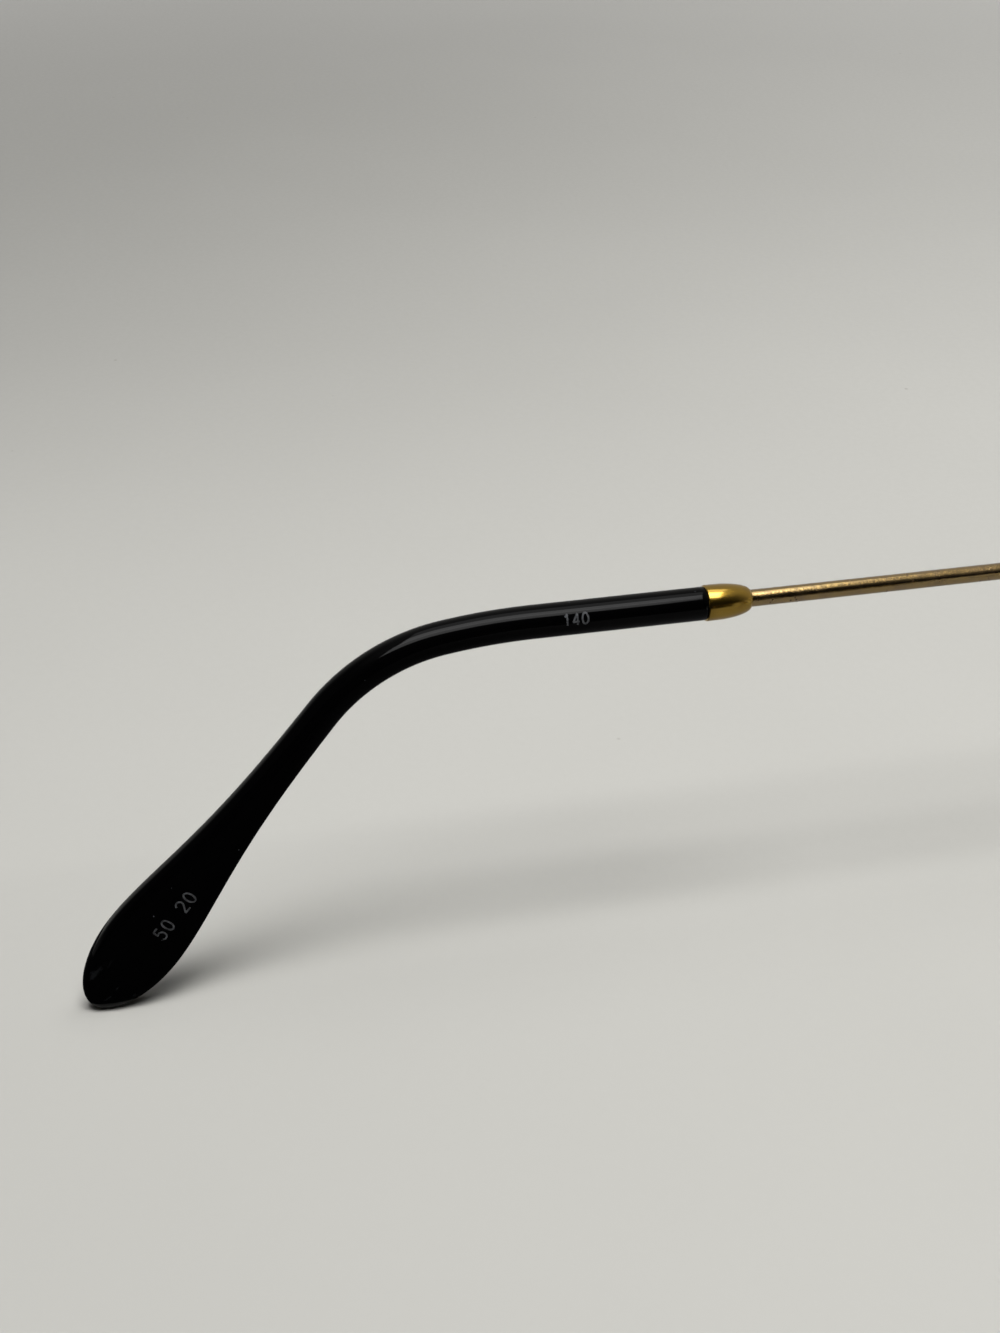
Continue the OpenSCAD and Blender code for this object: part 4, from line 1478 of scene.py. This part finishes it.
    def half_sizes(self, distance: Array) -> tuple[Array, Array, Array]:
        """Half width, half thickness and power of the tip's section at each distance.

        The section is a superellipse, |w / half width|^n + |t / half thickness|^n = 1,
        whose power n grows from 2 on the shaft to 3.4 on the paddle, which gives it flat
        faces between rounded rims. Past the paddle the halves shrink as (1 - u^2)^(1/2)
        and (1 - u^3)^(1/3).
        """
        paddle_from = self.tip_len - self.paddle_end
        widened = np.clip((distance - self.widen_from) / (paddle_from - self.widen_from), 0, 1)
        past = np.clip((distance - paddle_from) / self.paddle_end, 0, 1)
        half_w = self.tip_r + (self.paddle_r - self.tip_r) * eased(widened**self.widen_late)
        half_t = self.tip_r + (self.paddle_t - self.tip_r) * eased(widened)
        power = 2 + 1.4 * eased(widened**1.5) * (1 - past**2)
        return half_w * np.sqrt(1 - past**2), half_t * np.cbrt(1 - past**3), power

    def tip(self) -> None:
        """The tip: bore, mouth, round shaft, paddle and rounded end as one run of rings."""
        paddle_from = self.tip_len - self.paddle_end
        body = np.linspace(self.lip, paddle_from, 150)[:-1]
        end = paddle_from + self.paddle_end * np.sin(np.linspace(0, math.pi / 2, 40))[:-1]
        distance = np.concatenate([body, end, [self.tip_len - 0.0015]])
        half_w, half_t, power = (size[:, None] for size in self.half_sizes(distance))
        c, s = circle(1.0, self.sides).T
        outer = np.stack([
            half_w * np.sign(c) * np.abs(c) ** (2 / power),
            half_t * np.sign(s) * np.abs(s) ** (2 / power),
        ], -1)
        bore = self.core_r + self.tip_play
        bore_at = np.linspace(self.core_len + 0.5, 0, 60)
        radii = [bore] * len(bore_at) + [bore + 0.2, self.tip_r - self.lip, self.tip_r - 0.04]
        rings, straight = self.sweep(
            np.concatenate([bore_at, [0.0, 0.0, 0.04], distance]),
            np.concatenate([circle(np.array(radii), self.sides), outer]),
        )
        shell = tube(rings, straight)
        strokes = [stroke for line in self.prints for stroke in self.figures(line)]
        name, node = self.side.of("black_tip"), self.side.of("temple_tip")
        piece = make_piece(name, [shell, *strokes], TIP_BLACK, self.body, node, 40)
        plain = len(shell.faces) + len(shell.caps)
        dress(piece, FIGURES, np.arange(plain, len(piece.data.polygons)))

    def figures(self, line: Print) -> list[Shell]:
        """Printed figures on the inner face: flat ribbons that follow the surface.

        A ribbon's point at width w lies at the thickness t of the section's inner side,
        t = -half thickness (1 - |w / half width|^n)^(1/n), and stands proud by the ink.

        Args:
            line: What is printed, and where.

        Returns:
            One surface for each figure.
        """
        shells = []
        whole = len(line.text) * FIGURE_PITCH - (FIGURE_PITCH - FIGURE_WIDTH)
        for place, figure in enumerate(line.text):
            if figure == " ":
                continue
            drawn = (FIGURE_LINES[figure] + [place * FIGURE_PITCH - whole / 2, -0.5]) * line.high
            at = along(drawn)
            even = np.linspace(0, at[-1], 36)
            path = np.stack([np.interp(even, at, axis) for axis in drawn.T], -1)
            way = unit(np.gradient(path, axis=0))
            beside = np.stack([-way[:, 1], way[:, 0]], -1) * self.stroke / 2
            corner = np.stack([path + beside, path - beside, path - beside, path + beside], 1)
            run = line.centre - self.side.value * corner[..., 0]
            wide = line.middle - corner[..., 1]
            half_w, half_t, power = self.half_sizes(run)
            under = -half_t * (1 - np.abs(wide / half_w) ** power) ** (1 / power)
            thick = under + np.array([-1.0, -1.0, 4.0, 4.0]) * self.ink_t
            section = np.stack([wide, thick], -1).reshape(-1, 1, 2)
            swept = self.sweep(run.ravel(), section)
            shells.append(tube(*(part.reshape(corner.shape[:2] + (3,)) for part in swept)))
        return shells


# Table, lamps and camera


def aimed(
    thing: bpy.types.Object, target: Array, distance: float, bearing: float, height: float
) -> None:
    """Puts an object that looks along its own -Z in front of a target, level from side to side.

    Args:
        thing: The object.
        target: Where it looks, in metres.
        distance: How far from there it stands.
        bearing: The way from the target to it, in degrees from +X towards +Y.
        height: How high that way climbs, in degrees.
    """
    turn, climb = math.radians(bearing), math.radians(height)
    flat = math.cos(climb)
    out = np.array([flat * math.cos(turn), flat * math.sin(turn), math.sin(climb)])
    side = np.array([-math.sin(turn), math.cos(turn), 0])
    axes = np.stack([side, np.cross(out, side), out], 1)
    place = Matrix.Translation((out * distance + target).tolist())
    thing.matrix_world = place @ Matrix(axes.tolist()).to_4x4()


def sheet(
    name: str, corners: Sequence[Triple], material: bpy.types.Material
) -> bpy.types.Object:
    """A flat rectangle of the studio, which isn't part of the frame."""
    mesh = bpy.data.meshes.new(name)
    mesh.from_pydata(corners, [], [(0, 1, 2, 3)])
    mesh.materials.append(material)
    flat = placed(name, mesh)
    return flat


@dataclass(frozen=True)
class Camera:
    """The photograph's camera, placed from the mouth of the left tip."""

    offset: Triple = (-142.319, 51.170, 80.024)
    bearing: float = 167.268
    height: float = 30.0
    lens: float = 50.5
    sensor: float = 36.0

    def build(self, layout: Layout) -> None:
        """Makes the camera and gives it to the scene."""
        data = bpy.data.cameras.new("camera")
        data.lens = self.lens
        data.sensor_width = self.sensor
        data.clip_start = 0.01
        data.clip_end = 20
        camera = placed("camera", data)
        aimed(camera, (layout.mouth + self.offset) * MM, 0.0, self.bearing, self.height)
        bpy.context.scene.camera = camera


@dataclass(frozen=True)
class Lamp:
    """A soft rectangular lamp that points at the middle of the left temple.

    Args:
        name: Its name.
        height: Its elevation in degrees, which is more than 90 on the far side.
        across: Its level side, in metres.
        deep: Its other side.
        power: Its power in watts.
        in_gloss: True if only gloss shows it, and False if it lights matt surfaces alone.
        bearing: Where it is, in degrees from +X towards +Y.
    """

    name: str
    height: float
    across: float
    deep: float
    power: float
    in_gloss: bool
    bearing: float = 168.0
    distance: float = 0.72
    aim: Triple = (0.066, -0.008, 0.0)

    def build(self) -> None:
        """Makes the lamp."""
        data = bpy.data.lights.new(self.name, "AREA")
        data.shape = "RECTANGLE"
        data.size = self.across
        data.size_y = self.deep
        data.energy = self.power
        lamp = placed(self.name, data)
        aimed(lamp, np.array(self.aim), self.distance, self.bearing, self.height)
        lamp.visible_diffuse = not self.in_gloss
        lamp.visible_glossy = self.in_gloss
        lamp.visible_transmission = self.in_gloss


@dataclass(frozen=True)
class Card:
    """A card beside or under the frame that only gloss shows: a painted dark reflection of a dim
    room, or painted shade in the reflection of the table.

    Args:
        name: Its name.
        low: X and Z of its lower edge, in metres.
        high: X and Z of its upper edge.
        reach: Where it starts and ends along Y.
        greys: How pale it is towards -Y and towards +Y.
        fade: Where along Y one grey turns into the other.
    """

    name: str
    low: Span
    high: Span
    reach: Span
    greys: Span
    fade: Span = (-0.005, 0.04)

    def build(self) -> None:
        """Makes the card. It throws no shadow, and the camera doesn't see it."""
        (low_x, low_z), (high_x, high_z), (start, stop) = self.low, self.high, self.reach
        corners = [
            (low_x, start, low_z), (low_x, stop, low_z),
            (high_x, stop, high_z), (high_x, start, high_z),
        ]
        g = Graph(self.name)
        grey = g.ramp(g.axes(g.places(False))[1], *self.fade, *self.greys)
        card = sheet(self.name, corners, g.give({"Base Color": grey, "Specular IOR Level": 0.0}))
        card.visible_camera = False
        card.visible_diffuse = False
        card.visible_shadow = False
        card.visible_transmission = False


@dataclass(frozen=True)
class Room:
    """The light of the room: pale at the horizon and overhead, dimmer between them.

    Gloss shows that room. The camera and clear pieces see a plain pale background.

    Args:
        plain: Brightness of the plain background.
        horizon: Brightness of the walls' foot.
        walls: Brightness of the walls in the dark corner, -X and +Y, and in the pale one.
        corner: Where the change from one corner to the other begins and ends.
        slant: How much Y counts beside X in that change.
        ceiling: Brightness overhead.
        foot, top: Heights of a ray at which the walls begin and end, from 0 to 1.
        ambient: Brightness for matt surfaces, which the lamps light.
    """

    plain: float = 0.5
    horizon: float = 0.5
    walls: Span = (0.06, 0.5)
    corner: Span = (-0.3, 0.6)
    slant: float = 0.8
    ceiling: float = 0.45
    foot: Span = (0.08, 0.24)
    top: Span = (0.72, 0.95)
    ambient: float = 0.02

    def build(self) -> None:
        """Makes the world from the direction of each ray, with Z as the height."""
        world = bpy.data.worlds.new("room")
        world.use_nodes = True
        g = Nodes(world.node_tree)
        x, y, height = g.axes(g.add("TexCoord").outputs["Generated"])
        side = g.chain("SUBTRACT", x, g.times(y, self.slant))
        walls = g.ramp(side, *self.corner, *self.walls)
        ray = g.add("LightPath").outputs
        seen = g.most(ray["Is Camera Ray"], ray["Is Transmission Ray"])
        level = g.blend(g.ramp(height, *self.foot), self.horizon, walls, "FLOAT")
        level = g.blend(g.ramp(height, *self.top), level, self.ceiling, "FLOAT")
        level = g.blend(ray["Is Glossy Ray"], self.ambient, level, "FLOAT")
        light = world.node_tree.nodes["Background"].inputs
        g.feed(light["Color"], ROOM_TINT)
        g.feed(light["Strength"], g.blend(seen, level, self.plain, "FLOAT"))
        bpy.context.scene.world = world


@dataclass(frozen=True)
class Studio:
    """Table top, room light, lamps and cards that paint dark reflections."""

    reach: float = 12.0
    lamps: tuple[Lamp, ...] = (
        Lamp("overhead lamp in gloss", 83, 0.49, 0.228, 2.97, True),
        Lamp("broad lamp in gloss", 67, 0.55, 0.228, 2.46, True),
        Lamp("far lamp in gloss", 103, 0.495, 0.28, 0.83, True),
        Lamp("overhead lamp", 83, 0.4, 0.17, 3.3, False),
        Lamp("sloping lamp", 70, 0.5, 0.2, 2.0, False),
        Lamp("far lamp", 112, 0.24, 0.4, 1.1, False, bearing=115),
    )
    cards: tuple[Card, ...] = (
        # Painted reflections: a dark card for a dim room on the camera side, and a grey mat that
        # puts painted shade into the table's reflection.
        Card("dark_reflection_card", (-0.1, 0.001), (-0.36, 0.4), (-0.21, 0.6), (0.012, 0.012)),
        Card("shade_reflection_mat", (0.085, 0.001), (-0.1, 0.001), (-0.245, 0.6), (0.31, 0.03)),
    )

    def build(self) -> None:
        """Makes the table top, the lamps, the cards and the world."""
        r = self.reach
        sheet("table_top", [(-r, -r, 0), (r, -r, 0), (r, r, 0), (-r, r, 0)], TABLE_TOP.material())
        for part in (*self.lamps, *self.cards, Room()):
            part.build()
        bpy.context.scene.view_settings.view_transform = "Standard"


def main() -> None:
    """Builds the camera, the frame's sub-assemblies and the studio, in that order."""
    logging.basicConfig(level=logging.INFO, format="%(name)s: %(message)s")
    layout = Layout(frame["joints"])
    Camera().build(layout)
    front = FrontOfFrame(layout)
    pads = NosePads(layout)
    front.build()
    pads.build()
    Screws(front, pads).build()
    for side in Side:
        Temple(layout, side).build()
    Studio().build()


if __name__ == "__main__":
    main()
